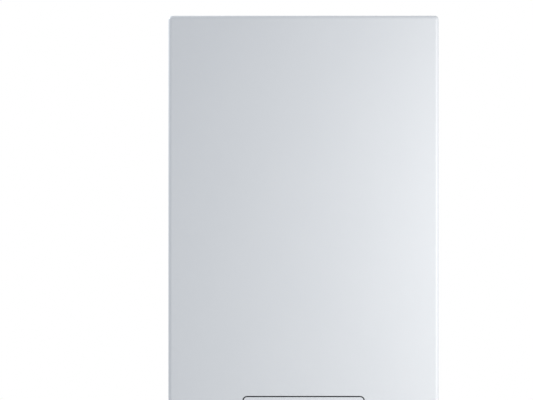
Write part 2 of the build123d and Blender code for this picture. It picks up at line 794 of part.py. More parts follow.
# On the board: the display module, two potentiometers and four button switches
pot_front = board_front + pot_height
with BuildPart() as board_parts:
    add_block((-display_width / 2 - display_body_margin, display_width / 2 + display_body_margin),
              (board_front, board_front + display_body_depth),
              (display_z - display_height / 2 - display_body_margin,
               display_z + display_height / 2 + display_body_margin))
    for knob_z in (heating_knob_z, water_knob_z):
        add_block((-knob_side - pot_size / 2, -knob_side + pot_size / 2), (board_front, pot_front),
                  (knob_z - pot_size / 2, knob_z + pot_size / 2))
        add_rod((-knob_side, -board_front - board_thickness, knob_z), (0, -1, 0),
                knob_shaft_radius + pot_running, pot_height, mode=Mode.SUBTRACT)
    for button_x in button_xs:
        add_block((button_x - switch_size / 2, button_x + switch_size / 2),
                  (board_front, board_front + switch_height),
                  (button_z - switch_size / 2, button_z + switch_size / 2))
board_parts.part.label = "board_parts"

# Window over the display: a clear plate with a thin step behind the fascia
with BuildPart() as display_lens:
    add_block((-display_width / 2, display_width / 2), (box_front, fascia_front),
              (display_z - display_height / 2, display_z + display_height / 2))
    add_block((-display_width / 2 - lens_step, display_width / 2 + lens_step),
              (box_front - lens_thickness, box_front),
              (display_z - display_height / 2 - lens_step,
               display_z + display_height / 2 + lens_step))
display_lens.part.label = "display_lens"

with BuildPart() as indicator_lights:
    for led_x in led_xs:
        add_rod((led_x, -board_front, led_z), (0, -1, 0), led_radius, fascia_front - board_front)
indicator_lights.part.label = "indicator_lights"


def turning_knob(knob_z):
    # A round knob with a raised grip bar and a shaft that reaches into its potentiometer.
    skirt_depth = fascia_front + knob_lift
    with BuildPart() as knob:
        add_rod((-knob_side, -skirt_depth, knob_z), (0, -1, 0), knob_radius, knob_skirt)
        add_rod((-knob_side, -skirt_depth, knob_z), (0, -1, 0), knob_radius - knob_skirt,
                knob_height - knob_skirt)
        add_block((-knob_side - knob_grip_width / 2, -knob_side + knob_grip_width / 2),
                  (skirt_depth, skirt_depth + knob_height - knob_lift),
                  (knob_z - knob_radius + knob_skirt, knob_z + knob_radius - knob_skirt))
        add_rod((-knob_side, -skirt_depth, knob_z), (0, 1, 0), knob_shaft_radius,
                skirt_depth - board_front - 2 * board_thickness)
    return knob


heating_knob = turning_knob(heating_knob_z)
heating_knob.part.label = "heating_knob"
water_knob = turning_knob(water_knob_z)
water_knob.part.label = "water_knob"


def push_button(button_x):
    # A key cap with a flange behind the fascia and a stem above its switch.
    flange_front = box_front - running_gap
    stem_end = board_front + switch_height + button_travel + running_gap
    with BuildPart() as button:
        add_block((button_x - button_width / 2, button_x + button_width / 2),
                  (flange_front, fascia_front + button_proud),
                  (button_z - button_height / 2, button_z + button_height / 2))
        add_block((button_x - button_width / 2 - button_flange,
                   button_x + button_width / 2 + button_flange),
                  (flange_front - button_flange, flange_front),
                  (button_z - button_height / 2 - button_flange,
                   button_z + button_height / 2 + button_flange))
        add_rod((button_x, -flange_front + button_flange, button_z), (0, 1, 0),
                button_stem_radius, flange_front - button_flange - stem_end)
    return button


button_names = ("button_info", "button_minus", "button_plus", "button_reset")
buttons = [push_button(button_x) for button_x in button_xs]
for button, name in zip(buttons, button_names):
    button.part.label = name

# Rocker switch: a moulded housing with a cross pin, and the rocker that tips on it
rocker_pivot = fascia_front - rocker_pivot_behind
rocker_rear = fascia_front - rocker_body_depth
with BuildPart() as rocker_housing:
    add_block((knob_side - rocker_outer_width / 2, knob_side + rocker_outer_width / 2),
              (rocker_rear, fascia_front),
              (rocker_z - rocker_outer_height / 2, rocker_z + rocker_outer_height / 2))
    add_block((knob_side - rocker_outer_width / 2 - rocker_flange,
               knob_side + rocker_outer_width / 2 + rocker_flange),
              (fascia_front, fascia_front + rocker_bezel),
              (rocker_z - rocker_outer_height / 2 - rocker_flange,
               rocker_z + rocker_outer_height / 2 + rocker_flange))
    add_block((knob_side - rocker_width / 2, knob_side + rocker_width / 2),
              (rocker_rear + rocker_wall, fascia_front + overrun),
              (rocker_z - rocker_height / 2, rocker_z + rocker_height / 2), mode=Mode.SUBTRACT)
    add_rod((knob_side - rocker_width / 2, -rocker_pivot, rocker_z), (1, 0, 0),
            rocker_pin_radius, rocker_width)
rocker_housing.part.label = "rocker_housing"

with BuildPart() as power_rocker:
    with BuildSketch(Plane.YZ.offset(knob_side - rocker_width / 2 + rocker_side_gap)):
        with Locations((-rocker_pivot, rocker_z)):
            Polygon((rocker_back, -rocker_back_half), (-rocker_nose, -rocker_front_half),
                    (-rocker_dip, 0), (-rocker_nose, rocker_front_half),
                    (rocker_back, rocker_back_half), rotation=rocker_tilt, align=None)
            Circle(rocker_pin_radius + pin_running, mode=Mode.SUBTRACT)
    extrude(amount=rocker_width - 2 * rocker_side_gap)
power_rocker.part.label = "power_rocker"

# Pressure gauge: case with its movement and tube, dial, pointer and lens
gauge_rear = fascia_front - gauge_length
dial_front = fascia_front - dial_behind
dial_rear = dial_front - dial_thickness
gauge_inner_radius = gauge_radius - gauge_wall
return_front = hydraulic_depth + pipe_radius
with BuildPart() as gauge_case:
    add_rod((knob_side, -gauge_rear, gauge_z), (0, -1, 0), gauge_radius, gauge_length)
    add_rod((knob_side, -fascia_front, gauge_z), (0, -1, 0), gauge_radius + gauge_ring_width,
            gauge_ring_height)
    add_rod((knob_side, -gauge_rear - gauge_wall, gauge_z), (0, -1, 0), gauge_inner_radius,
            gauge_length + gauge_ring_height, mode=Mode.SUBTRACT)
    add_rod((knob_side, -gauge_rear - gauge_wall, gauge_z), (0, -1, 0), gauge_post_radius,
            dial_rear - gauge_post_gap - gauge_rear - gauge_wall)
    add_rod((knob_side, -gauge_rear - 2 * gauge_wall, gauge_z), (0, -1, 0),
            needle_shaft_radius + needle_running, gauge_length, mode=Mode.SUBTRACT)
    add(bent_tube([(knob_side, -gauge_rear, gauge_z),
                   (knob_side, -return_front - gauge_tube_behind, gauge_z),
                   (return_x, -return_front - gauge_tube_behind, base_z + gauge_tube_height),
                   (return_x, -return_front, base_z + gauge_tube_height)],
                  gauge_tube_bend, gauge_tube_radius, gauge_tube_bore))
gauge_case.part.label = "gauge_case"

with BuildPart() as gauge_dial:
    add_rod((knob_side, -dial_rear, gauge_z), (0, -1, 0), gauge_inner_radius, dial_thickness)
    add_rod((knob_side, -dial_rear + overrun, gauge_z), (0, -1, 0),
            needle_shaft_radius + needle_running, 2 * overrun, mode=Mode.SUBTRACT)
gauge_dial.part.label = "gauge_dial"

needle_rear = dial_front + needle_lift
with BuildPart() as gauge_needle:
    add_rod((knob_side, -needle_rear, gauge_z), (0, -1, 0), needle_hub_radius, needle_hub_height)
    add_rod((knob_side, -needle_rear, gauge_z), (0, 1, 0), needle_shaft_radius,
            needle_shaft_length)
    with BuildSketch(Plane.XZ.offset(needle_rear)):
        with Locations(Location((knob_side, gauge_z), needle_rest)):
            Polygon((-needle_tail, needle_width), (needle_length, needle_tip_width),
                    (needle_length, -needle_tip_width), (-needle_tail, -needle_width), align=None)
    extrude(amount=needle_thickness)
gauge_needle.part.label = "gauge_needle"

with BuildPart() as gauge_lens:
    add_rod((knob_side, -fascia_front, gauge_z), (0, -1, 0), gauge_inner_radius,
            gauge_lens_thickness)
gauge_lens.part.label = "gauge_lens"

# Top-hat rail in the control box that the contactors and terminals clip onto
box_inside = box_rear + box_wall
rail_front = box_inside + rail_strip_depth
rail_z = box_floor_z + rail_height_in_box
web_half = rail_strip_width / 2 - rail_strip_flange
rail_strip_end = box_half_width - rail_strip_inset
with BuildPart() as mounting_rail:
    add_block((-rail_strip_end, rail_strip_end), (box_inside, rail_front),
              (rail_z - web_half, rail_z + web_half))
    add_block((-rail_strip_end, rail_strip_end),
              (rail_front - rail_strip_sheet, rail_front),
              (rail_z - rail_strip_width / 2, rail_z + rail_strip_width / 2))
    add_block((-rail_strip_end - overrun, rail_strip_end + overrun),
              (box_inside + rail_strip_sheet, rail_front + overrun),
              (rail_z - web_half + rail_strip_sheet, rail_z + web_half - rail_strip_sheet),
              mode=Mode.SUBTRACT)
mounting_rail.part.label = "mounting_rail"

with BuildPart() as contactors:
    for number in range(contactor_count):
        middle_x = box_half_width - contactor_inset - number * contactor_pitch
        sides = (middle_x - contactor_width / 2, middle_x + contactor_width / 2)
        add_block(sides, (rail_front, rail_front + contactor_depth),
                  (rail_z - contactor_height / 2, rail_z + contactor_height / 2))
        for ledge_z in (rail_z - contactor_height / 2 + contactor_ledge / 2,
                        rail_z + contactor_height / 2 - contactor_ledge / 2):
            add_block(sides, (rail_front + contactor_depth - contactor_step,
                              rail_front + contactor_depth + overrun),
                      (ledge_z - contactor_ledge / 2, ledge_z + contactor_ledge / 2),
                      mode=Mode.SUBTRACT)
            for offset_x in (-contactor_step, 0, contactor_step):
                add_rod((middle_x + offset_x,
                         -rail_front - contactor_depth + contactor_step, ledge_z), (0, 1, 0),
                        terminal_screw_radius, terminal_screw_depth, mode=Mode.SUBTRACT)
contactors.part.label = "contactors"

# Mains terminals: a row of clamps with a screw well above and below
terminal_low_x = -box_half_width + terminal_inset
with BuildPart() as terminal_block:
    for number in range(terminal_count):
        low_x = terminal_low_x + number * terminal_pitch
        add_block((low_x, low_x + terminal_pitch - terminal_slot),
                  (rail_front, rail_front + terminal_depth),
                  (rail_z - terminal_height / 2, rail_z + terminal_height / 2))
        for rise in (-terminal_screw_rise, terminal_screw_rise):
            add_rod((low_x + (terminal_pitch - terminal_slot) / 2,
                     -rail_front - terminal_depth, rail_z + rise), (0, 1, 0),
                    terminal_screw_radius, terminal_screw_depth, mode=Mode.SUBTRACT)
    add_block((terminal_low_x, terminal_low_x + terminal_count * terminal_pitch - terminal_slot),
              (rail_front, rail_front + terminal_depth / 2),
              (rail_z - rail_strip_width / 2, rail_z + rail_strip_width / 2))
terminal_block.part.label = "terminal_block"

# Power board on four feet, with relays, a transformer and a capacitor
power_rear = box_inside + power_board_lift
power_front = power_rear + board_thickness
power_middle = base_z + (power_board_low + power_board_high) / 2
power_low_x = -box_half_width + power_board_inset
power_high_x = knob_side - power_board_gap
transformer_x = power_high_x - transformer_inset
capacitor_x = power_high_x - capacitor_inset
with BuildPart() as power_board:
    add_block((power_low_x, power_high_x), (power_rear, power_front),
              (base_z + power_board_low, base_z + power_board_high))
    for foot_x in (power_low_x + lid_post_radius, power_high_x - lid_post_radius):
        for foot_z in (base_z + power_board_low + lid_post_radius,
                       base_z + power_board_high - lid_post_radius):
            add_rod((foot_x, -box_inside, foot_z), (0, -1, 0), board_post_radius,
                    power_board_lift)
    for number in range(relay_count):
        relay_x = power_low_x + relay_inset + number * relay_pitch
        add_block((relay_x - relay_width / 2, relay_x + relay_width / 2),
                  (power_front, power_front + relay_depth),
                  (power_middle - relay_height / 2, power_middle + relay_height / 2))
    add_block((transformer_x - transformer_width / 2, transformer_x + transformer_width / 2),
              (power_front, power_front + transformer_depth),
              (power_middle - transformer_height / 2, power_middle + transformer_height / 2))
    add_rod((capacitor_x, -power_front, power_middle), (0, -1, 0), capacitor_radius,
            capacitor_depth)
power_board.part.label = "power_board"

# Heater vessel: a welded cylinder with a neck, a bolting collar, two water ports and two bosses
vessel_foot = base_z + vessel_low
vessel_head = top_z - vessel_top_gap
vessel_y = -hydraulic_depth
outlet_z = vessel_head - outlet_drop
inlet_mouth_z = vessel_foot - port_length
neck_top = vessel_head + neck_height
flange_bolt_ring = flange_radius - flange_bolt_inset
element_foot = vessel_foot + element_foot_gap
vent_x = outlet_mouth - vent_from_outlet
sensor_rays = [(sin(radians(turn)), -cos(radians(turn)), 0) for turn in sensor_turns]


def vessel_body(radius, foot, head, edge):
    # A closed cylinder on the vessel's axis with rounded ends.
    with BuildPart() as body:
        add_rod((vessel_x, vessel_y, foot), (0, 0, 1), radius, head - foot)
        fillet(edges().filter_by(GeomType.CIRCLE), edge)
    return body.part


with BuildPart() as vessel_space:
    add(vessel_body(vessel_radius - vessel_wall, vessel_foot + vessel_wall,
                    vessel_head - vessel_wall, vessel_edge - vessel_wall))
    add_rod((vessel_x, vessel_y, inlet_mouth_z - overrun), (0, 0, 1), port_bore,
            port_length + 2 * overrun)
    add_rod((vessel_x, vessel_y, outlet_z), (1, 0, 0), port_bore,
            vessel_radius + outlet_reach + overrun)
    add_rod((vent_x, vessel_y, outlet_z), (0, 0, 1), vent_spigot_radius,
            port_radius + vent_stub_rise + overrun)
    add_rod((vessel_x, vessel_y, vessel_head - vessel_edge), (0, 0, 1), neck_radius - neck_wall,
            vessel_edge + neck_height + overrun)
    for ray in sensor_rays:
        add_rod((vessel_x, vessel_y, outlet_z), ray, sensor_radius,
                vessel_radius + sensor_boss_length + overrun)

with BuildPart() as heater_vessel:
    add(vessel_body(vessel_radius, vessel_foot, vessel_head, vessel_edge))
    add_rod((vessel_x, vessel_y, inlet_mouth_z), (0, 0, 1), port_radius,
            port_length + vessel_edge)
    add_rod((vessel_x, vessel_y, outlet_z), (1, 0, 0), port_radius,
            vessel_radius + outlet_reach)
    add_rod((vent_x, vessel_y, outlet_z), (0, 0, 1), vent_stub_radius,
            port_radius + vent_stub_rise)
    add_rod((vessel_x, vessel_y, vessel_head - vessel_edge), (0, 0, 1), neck_radius,
            vessel_edge + neck_height)
    add_rod((vessel_x, vessel_y, neck_top - collar_thickness), (0, 0, 1), flange_radius,
            collar_thickness)
    for ray in sensor_rays:
        add_rod((vessel_x, vessel_y, outlet_z), ray, sensor_boss_radius,
                vessel_radius + sensor_boss_length)
    add(vessel_space.part, mode=Mode.SUBTRACT)
    with Locations((vessel_x, vessel_y, neck_top - collar_thickness - overrun)):
        with PolarLocations(flange_bolt_ring, flange_bolt_count):
            Cylinder(flange_bolt_radius, collar_thickness + 2 * overrun,
                     align=(Align.CENTER, Align.CENTER, Align.MIN), mode=Mode.SUBTRACT)
heater_vessel.part.label = "heater_vessel"

# Insulation: two foam half shells round the vessel
shell_foot = vessel_foot + insulation_low_trim
shell_length = vessel_head - insulation_high_trim - shell_foot
shell_radius = vessel_radius + insulation_gap
with BuildPart() as vessel_insulation:
    add_rod((vessel_x, vessel_y, shell_foot), (0, 0, 1), shell_radius + insulation_thickness,
            shell_length)
    add_rod((vessel_x, vessel_y, shell_foot - overrun), (0, 0, 1), shell_radius,
            shell_length + 2 * overrun, mode=Mode.SUBTRACT)
    add_block((vessel_x - 2 * vessel_radius, vessel_x + 2 * vessel_radius),
              (hydraulic_depth - insulation_split / 2, hydraulic_depth + insulation_split / 2),
              (shell_foot - overrun, shell_foot + shell_length + overrun), mode=Mode.SUBTRACT)
vessel_insulation.part.label = "vessel_insulation"

# Two shelves that hold the vessel on the back panel
back_front = back_depth + frame_sheet
with BuildPart() as vessel_brackets:
    for shelf_z in (vessel_foot + shelf_low_rise, vessel_head - shelf_high_drop):
        add_block((vessel_x - shelf_half_width, vessel_x + shelf_half_width),
                  (back_front, hydraulic_depth - vessel_radius / 2),
                  (shelf_z, shelf_z + shelf_sheet))
        add_block((vessel_x - shelf_half_width, vessel_x + shelf_half_width),
                  (back_front, back_front + shelf_sheet),
                  (shelf_z - shelf_half_width, shelf_z + shelf_sheet))
    add_rod((vessel_x, vessel_y, vessel_foot), (0, 0, 1), vessel_radius,
            vessel_head - vessel_foot, mode=Mode.SUBTRACT)
vessel_brackets.part.label = "vessel_brackets"

# Element flange, its gasket and bolts, the heater loops and their cap
gasket_top = neck_top + gasket_thickness
flange_top = gasket_top + flange_thickness
leg_places = []
for number in range(element_count):
    turn = radians(number * 360 / element_count)
    middle = (element_ring * cos(turn), element_ring * sin(turn))
    leg_places.append([(vessel_x + middle[0] - side * element_spread * sin(turn),
                        vessel_y + middle[1] + side * element_spread * cos(turn))
                       for side in (-1, 1)])

with BuildPart() as flange_gasket:
    add_rod((vessel_x, vessel_y, neck_top), (0, 0, 1), flange_radius, gasket_thickness)
    add_rod((vessel_x, vessel_y, neck_top - overrun), (0, 0, 1), neck_radius - neck_wall,
            gasket_thickness + 2 * overrun, mode=Mode.SUBTRACT)
    with Locations((vessel_x, vessel_y, neck_top - overrun)):
        with PolarLocations(flange_bolt_ring, flange_bolt_count):
            Cylinder(flange_bolt_radius, gasket_thickness + 2 * overrun,
                     align=(Align.CENTER, Align.CENTER, Align.MIN), mode=Mode.SUBTRACT)
flange_gasket.part.label = "flange_gasket"

with BuildPart() as element_flange:
    add_rod((vessel_x, vessel_y, gasket_top), (0, 0, 1), flange_radius, flange_thickness)
    with Locations((vessel_x, vessel_y, gasket_top - overrun)):
        with PolarLocations(flange_bolt_ring, flange_bolt_count):
            Cylinder(flange_bolt_radius, flange_thickness + 2 * overrun,
                     align=(Align.CENTER, Align.CENTER, Align.MIN), mode=Mode.SUBTRACT)
    for legs in leg_places:
        for leg_x, leg_y in legs:
            add_rod((leg_x, leg_y, gasket_top - overrun), (0, 0, 1), element_radius,
                    flange_thickness + 2 * overrun, mode=Mode.SUBTRACT)
element_flange.part.label = "element_flange"

with BuildPart() as heating_elements:
    for legs in leg_places:
        (first_x, first_y), (second_x, second_y) = legs
        add(bent_tube([(first_x, first_y, flange_top + element_stub),
                       (first_x, first_y, element_foot),
                       (second_x, second_y, element_foot),
                       (second_x, second_y, flange_top + element_stub)],
                      element_bend, element_radius, 0))
heating_elements.part.label = "heating_elements"

bolt_length = flange_thickness + gasket_thickness + collar_thickness + bolt_past
with BuildPart() as flange_bolts:
    with Locations((vessel_x, vessel_y, flange_top)):
        with PolarLocations(flange_bolt_ring, flange_bolt_count):
            Cylinder(flange_bolt_radius, bolt_length,
                     align=(Align.CENTER, Align.CENTER, Align.MAX))
    with BuildSketch(Plane.XY.offset(flange_top)):
        with Locations((vessel_x, vessel_y)):
            with PolarLocations(flange_bolt_ring, flange_bolt_count):
                RegularPolygon(flange_bolt_across / 2, 6, major_radius=False)
    extrude(amount=flange_bolt_head)
flange_bolts.part.label = "flange_bolts"

with BuildPart() as element_cap:
    add_rod((vessel_x, vessel_y, flange_top), (0, 0, 1), cap_radius, cap_height)
    fillet(edges().filter_by(GeomType.CIRCLE).sort_by(Axis.Z)[-1], cap_edge)
    add_rod((vessel_x, vessel_y, flange_top - overrun), (0, 0, 1), cap_radius - cap_wall,
            cap_height + overrun - cap_wall, mode=Mode.SUBTRACT)
    add_rod((vessel_x, vessel_y, flange_top + cap_height / 2), (0, -1, 0), cap_cable_radius,
            cap_radius + overrun, mode=Mode.SUBTRACT)
element_cap.part.label = "element_cap"

# Two temperature sensors screwed into the vessel's bosses
sensor_seat = vessel_radius + sensor_boss_length
with BuildPart() as vessel_sensors:
    for ray in sensor_rays:
        seat = (vessel_x + sensor_seat * ray[0], vessel_y + sensor_seat * ray[1], outlet_z)
        inward = (-ray[0], -ray[1], 0)
        add_rod(seat, inward, sensor_radius, sensor_reach)
        add_hex(seat, ray, sensor_across, sensor_head)
vessel_sensors.part.label = "vessel_sensors"

# Automatic air vent on the outlet's stub, with its screw cap
vent_foot = outlet_z + port_radius + vent_stub_rise
vent_head = vent_foot + vent_height
with BuildPart() as air_vent:
    add_rod((vent_x, vessel_y, vent_foot), (0, 0, 1), vent_radius, vent_height)
    fillet(edges().filter_by(GeomType.CIRCLE), vent_edge)
    add_rod((vent_x, vessel_y, vent_head), (0, 0, 1), vent_spigot_radius,
            vent_cap_height - vent_cap_roof)
air_vent.part.label = "air_vent"

with BuildPart() as air_vent_cap:
    add_rod((vent_x, vessel_y, vent_head + running_gap), (0, 0, 1), vent_cap_radius,
            vent_cap_height)
    add_rod((vent_x, vessel_y, vent_head - overrun), (0, 0, 1),
            vent_spigot_radius + vent_cap_running, overrun + vent_cap_height - vent_cap_roof / 2,
            mode=Mode.SUBTRACT)
air_vent_cap.part.label = "air_vent_cap"

# Pump: a hollow volute with two ports, a motor and the rotor that turns in both
pump_z = base_z + pump_height
volute_rear = hydraulic_depth - volute_half_depth
volute_front = hydraulic_depth + volute_half_depth
pump_left = pump_x - pump_reach
pump_right = pump_x + pump_reach
with BuildPart() as pump_housing:
    add_rod((pump_x, -volute_rear, pump_z), (0, -1, 0), volute_radius, 2 * volute_half_depth)
    fillet(edges().filter_by(GeomType.CIRCLE).sort_by(Axis.Y)[-1], volute_wall)
    add_rod((pump_left, vessel_y, pump_z), (1, 0, 0), port_radius, 2 * pump_reach)
    add_rod((pump_x, -volute_rear - volute_wall, pump_z), (0, -1, 0),
            volute_radius - volute_wall, 2 * volute_half_depth, mode=Mode.SUBTRACT)
    add_rod((pump_left - overrun, vessel_y, pump_z), (1, 0, 0), port_bore,
            2 * pump_reach + 2 * overrun, mode=Mode.SUBTRACT)
pump_housing.part.label = "pump_housing"

motor_front = volute_front + motor_length
motor_inner_rear = volute_front + motor_wall
motor_inner_front = motor_front - motor_wall
with BuildPart() as pump_motor:
    add_rod((pump_x, -volute_front, pump_z), (0, -1, 0), motor_radius, motor_length)
    fillet(edges().filter_by(GeomType.CIRCLE).sort_by(Axis.Y)[0], motor_edge)
    add_block((pump_x - motor_box_width / 2, pump_x + motor_box_width / 2),
              (motor_inner_rear, motor_inner_rear + motor_box_depth),
              (pump_z, pump_z + motor_radius + motor_box_height))
    for number in range(motor_rib_count):
        groove_depth = motor_front - motor_edge - (number + 1) * motor_rib_pitch
        with BuildSketch(Plane.XZ.offset(groove_depth)):
            with Locations((pump_x, pump_z)):
                Circle(motor_radius + overrun)
                Circle(motor_radius - motor_rib_depth, mode=Mode.SUBTRACT)
                with Locations((0, motor_radius)):
                    Rectangle(motor_box_width, 2 * motor_box_height, mode=Mode.SUBTRACT)
        extrude(amount=motor_rib_width, mode=Mode.SUBTRACT)
    add_rod((pump_x, -motor_inner_rear, pump_z), (0, -1, 0), motor_radius - motor_wall,
            motor_inner_front - motor_inner_rear, mode=Mode.SUBTRACT)
    add_rod((pump_x, -motor_inner_rear, pump_z), (0, -1, 0), bearing_boss_radius,
            bearing_boss_length)
    add_rod((pump_x, -motor_inner_front, pump_z), (0, 1, 0), bearing_boss_radius,
            bearing_boss_length)
    add_rod((pump_x, -motor_front, pump_z), (0, -1, 0), motor_plug_radius, motor_plug_height)
    add_rod((pump_x, -volute_rear, pump_z), (0, -1, 0), shaft_radius + bearing_running,
            motor_inner_front - volute_rear, mode=Mode.SUBTRACT)
pump_motor.part.label = "pump_motor"

impeller_rear = volute_rear + volute_wall + impeller_rear_gap
blade_front = impeller_rear + impeller_thickness + blade_height
rotor_rear = motor_inner_rear + bearing_boss_length + rotor_gap
with BuildPart() as pump_rotor:
    add_rod((pump_x, -impeller_rear, pump_z), (0, -1, 0), impeller_radius, impeller_thickness)
    for number in range(blade_count):
        turn = radians(number * 360 / blade_count)
        middle = (blade_inner + impeller_radius) / 2
        with Locations(Location((pump_x + middle * cos(turn), -(blade_front + impeller_rear) / 2,
                                 pump_z + middle * sin(turn)),
                                (0, -number * 360 / blade_count, 0))):
            Box(impeller_radius - blade_inner, blade_front - impeller_rear, blade_thickness)
    add_rod((pump_x, -impeller_rear, pump_z), (0, -1, 0), shaft_radius,
            motor_inner_front - running_gap - impeller_rear)
    add_rod((pump_x, -rotor_rear, pump_z), (0, -1, 0), rotor_radius, rotor_length)
pump_rotor.part.label = "pump_rotor"

# Expansion vessel: a flat tank with a rolled seam, two arms to the back panel and two valves
tank_z = top_z - tank_drop
tank_radius = (casing_width - tank_spare_width) / 2
tank_x = half_width - panel_sheet - tank_side_gap - tank_seam - tank_radius
tank_front = hydraulic_depth - vessel_radius - shell_thickness - tank_gap
tank_depth = tank_front - tank_rear
tank_edge = tank_edge_share * tank_depth
tank_middle = (tank_rear + tank_front) / 2
port_depth = tank_middle - tank_port_share * tank_depth
port_mouth_z = tank_z - tank_radius - tank_port_length
with BuildPart() as tank_space:
    add_rod((tank_x, -tank_rear - tank_wall, tank_z), (0, -1, 0), tank_radius - tank_wall,
            tank_front - tank_rear - 2 * tank_wall)
    fillet(edges().filter_by(GeomType.CIRCLE), tank_edge - tank_wall)
    add_rod((tank_x, -port_depth, port_mouth_z - overrun), (0, 0, 1), hose_bore,
            tank_port_length + 2 * overrun)

with BuildPart() as expansion_tank:
    add_rod((tank_x, -tank_rear, tank_z), (0, -1, 0), tank_radius, tank_front - tank_rear)
    fillet(edges().filter_by(GeomType.CIRCLE), tank_edge)
    add_rod((tank_x, -tank_middle + tank_seam_width / 2, tank_z), (0, -1, 0),
            tank_radius + tank_seam, tank_seam_width)
    add_rod((tank_x, -port_depth, port_mouth_z), (0, 0, 1), tank_port_radius,
            tank_port_length + tank_seam)
    add_rod((tank_x, -tank_front + tank_wall, tank_z + tank_radius / 2), (0, -1, 0),
            tank_valve_radius, tank_valve_length)
    for side in (-1, 1):
        arm_outer = tank_x + side * (tank_radius + tank_seam)
        arm_heights = (tank_z - tank_arm_half_height, tank_z + tank_arm_half_height)
        add_block((arm_outer - side * tank_arm_sheet, arm_outer),
                  (back_front, tank_middle + tank_arm_past), arm_heights)
        add_block((arm_outer - side * tank_arm_lip, arm_outer),
                  (back_front, back_front + tank_arm_sheet), arm_heights)
    add(tank_space.part, mode=Mode.SUBTRACT)
expansion_tank.part.label = "expansion_tank"

with BuildPart() as tank_membrane:
    add_rod((tank_x, -tank_middle + membrane_thickness / 2, tank_z), (0, -1, 0),
            tank_radius - tank_wall, membrane_thickness)
tank_membrane.part.label = "tank_membrane"

# Hose from the expansion vessel to the spigot behind the return pipe
tee_z = base_z + hose_tee_height
hose_end = hydraulic_depth - pipe_radius - hose_stop
with BuildPart() as expansion_hose:
    add(bent_tube([(tank_x, -port_depth, port_mouth_z),
                   (tank_x, -port_depth, port_mouth_z - hose_drop),
                   (return_x, -hydraulic_depth + hose_behind, tee_z),
                   (return_x, -hose_end, tee_z)],
                  hose_bend, hose_radius, hose_bore))
expansion_hose.part.label = "expansion_hose"

# Water pipes: from the vessel to the heating flow, from the heating return to the pump, and from
# the pump to the vessel


def connection(end_x, end_y):
    # The threaded end of a pipe below the casing, with its hexagon.
    with BuildPart() as ending:
        add_rod((end_x, end_y, pipe_z), (0, 0, 1), thread_radius, thread_length)
        add_hex((end_x, end_y, pipe_z + thread_length), (0, 0, 1), hex_across, hex_height)
        add_rod((end_x, end_y, pipe_z - overrun), (0, 0, 1), pipe_radius,
                thread_length + hex_height + 2 * overrun, mode=Mode.SUBTRACT)
    return ending.part


with BuildPart() as flow_pipe:
    add(bent_tube([(outlet_mouth, vessel_y, outlet_z),
                   (flow_x, vessel_y, outlet_z),
                   (flow_x, -flow_depth, outlet_z - flow_slope),
                   (flow_x, -flow_depth, pipe_z)],
                  pipe_bend, pipe_radius, pipe_bore))
    add(connection(flow_x, -flow_depth))
flow_pipe.part.label = "flow_pipe"

valve_z = base_z + valve_height
with BuildPart() as return_pipe:
    add(bent_tube([(pump_right, vessel_y, pump_z),
                   (return_x, vessel_y, pump_z),
                   (return_x, vessel_y, pipe_z)],
                  pipe_bend, pipe_radius, 0))
    add(connection(return_x, vessel_y))
    add_rod((return_x, vessel_y, valve_z), (-1, 0, 0), valve_stub_radius, valve_boss_reach)
    add_rod((return_x, vessel_y, tee_z), (0, 1, 0), hose_bore,
            pipe_radius + hose_spigot_length)
    add(bent_tube([(pump_right, vessel_y, pump_z),
                   (return_x, vessel_y, pump_z),
                   (return_x, vessel_y, pipe_z)],
                  pipe_bend, pipe_bore, 0), mode=Mode.SUBTRACT)
    add_rod((return_x, vessel_y, valve_z), (-1, 0, 0), valve_stub_bore,
            valve_boss_reach + overrun, mode=Mode.SUBTRACT)
    add_rod((return_x, vessel_y, tee_z), (0, 1, 0), hose_spigot_bore,
            pipe_radius + hose_spigot_length + overrun, mode=Mode.SUBTRACT)
return_pipe.part.label = "return_pipe"

with BuildPart() as transfer_pipe:
    add(bent_tube([(pump_left, vessel_y, pump_z),
                   (vessel_x, vessel_y, pump_z),
                   (vessel_x, vessel_y, inlet_mouth_z)],
                  pipe_bend, pipe_radius, pipe_bore))
transfer_pipe.part.label = "transfer_pipe"

# Union nuts over the four joints between ports and pipes
joints = (
    ((outlet_mouth, vessel_y, outlet_z), (1, 0, 0)),
    ((pump_left, vessel_y, pump_z), (-1, 0, 0)),
    ((pump_right, vessel_y, pump_z), (1, 0, 0)),
    ((vessel_x, vessel_y, inlet_mouth_z), (0, 0, -1)),
)
with BuildPart() as union_nuts:
    for place, away in joints:
        start = tuple(value - nut_half * step for value, step in zip(place, away))
        add_hex(start, away, nut_across, 2 * nut_half)
    for place, away in joints:
        toward = tuple(-step for step in away)
        add_rod(place, toward, port_radius, nut_half + overrun, mode=Mode.SUBTRACT)
        add_rod(place, away, pipe_radius, nut_half + overrun, mode=Mode.SUBTRACT)
union_nuts.part.label = "union_nuts"

# Safety valve with its discharge pipe, and the cap that lifts it by hand
valve_foot = valve_z - valve_body_height / 2
valve_head = valve_z + valve_body_height / 2
with BuildPart() as safety_valve:
    add_rod((discharge_x, vessel_y, valve_foot), (0, 0, 1), valve_body_radius, valve_body_height)
    fillet(edges().filter_by(GeomType.CIRCLE), valve_edge)
    add_rod((discharge_x, vessel_y, valve_z), (1, 0, 0), valve_stub_radius,
            valve_reach - valve_boss_reach)
    add_rod((discharge_x, vessel_y, valve_head), (0, 0, 1), valve_spindle_radius,
            valve_cap_height - valve_edge)
    add_rod((discharge_x, vessel_y, pipe_z), (0, 0, 1), discharge_radius, valve_foot - pipe_z)
    add_hex((discharge_x, vessel_y, valve_foot - discharge_sleeve), (0, 0, 1),
            2 * valve_body_radius - valve_edge, discharge_sleeve)
    add_rod((discharge_x, vessel_y, pipe_z - overrun), (0, 0, 1), discharge_bore,
            valve_z - pipe_z + overrun, mode=Mode.SUBTRACT)
    add_rod((discharge_x, vessel_y, valve_z), (1, 0, 0), valve_stub_bore, valve_reach,
            mode=Mode.SUBTRACT)
safety_valve.part.label = "safety_valve"

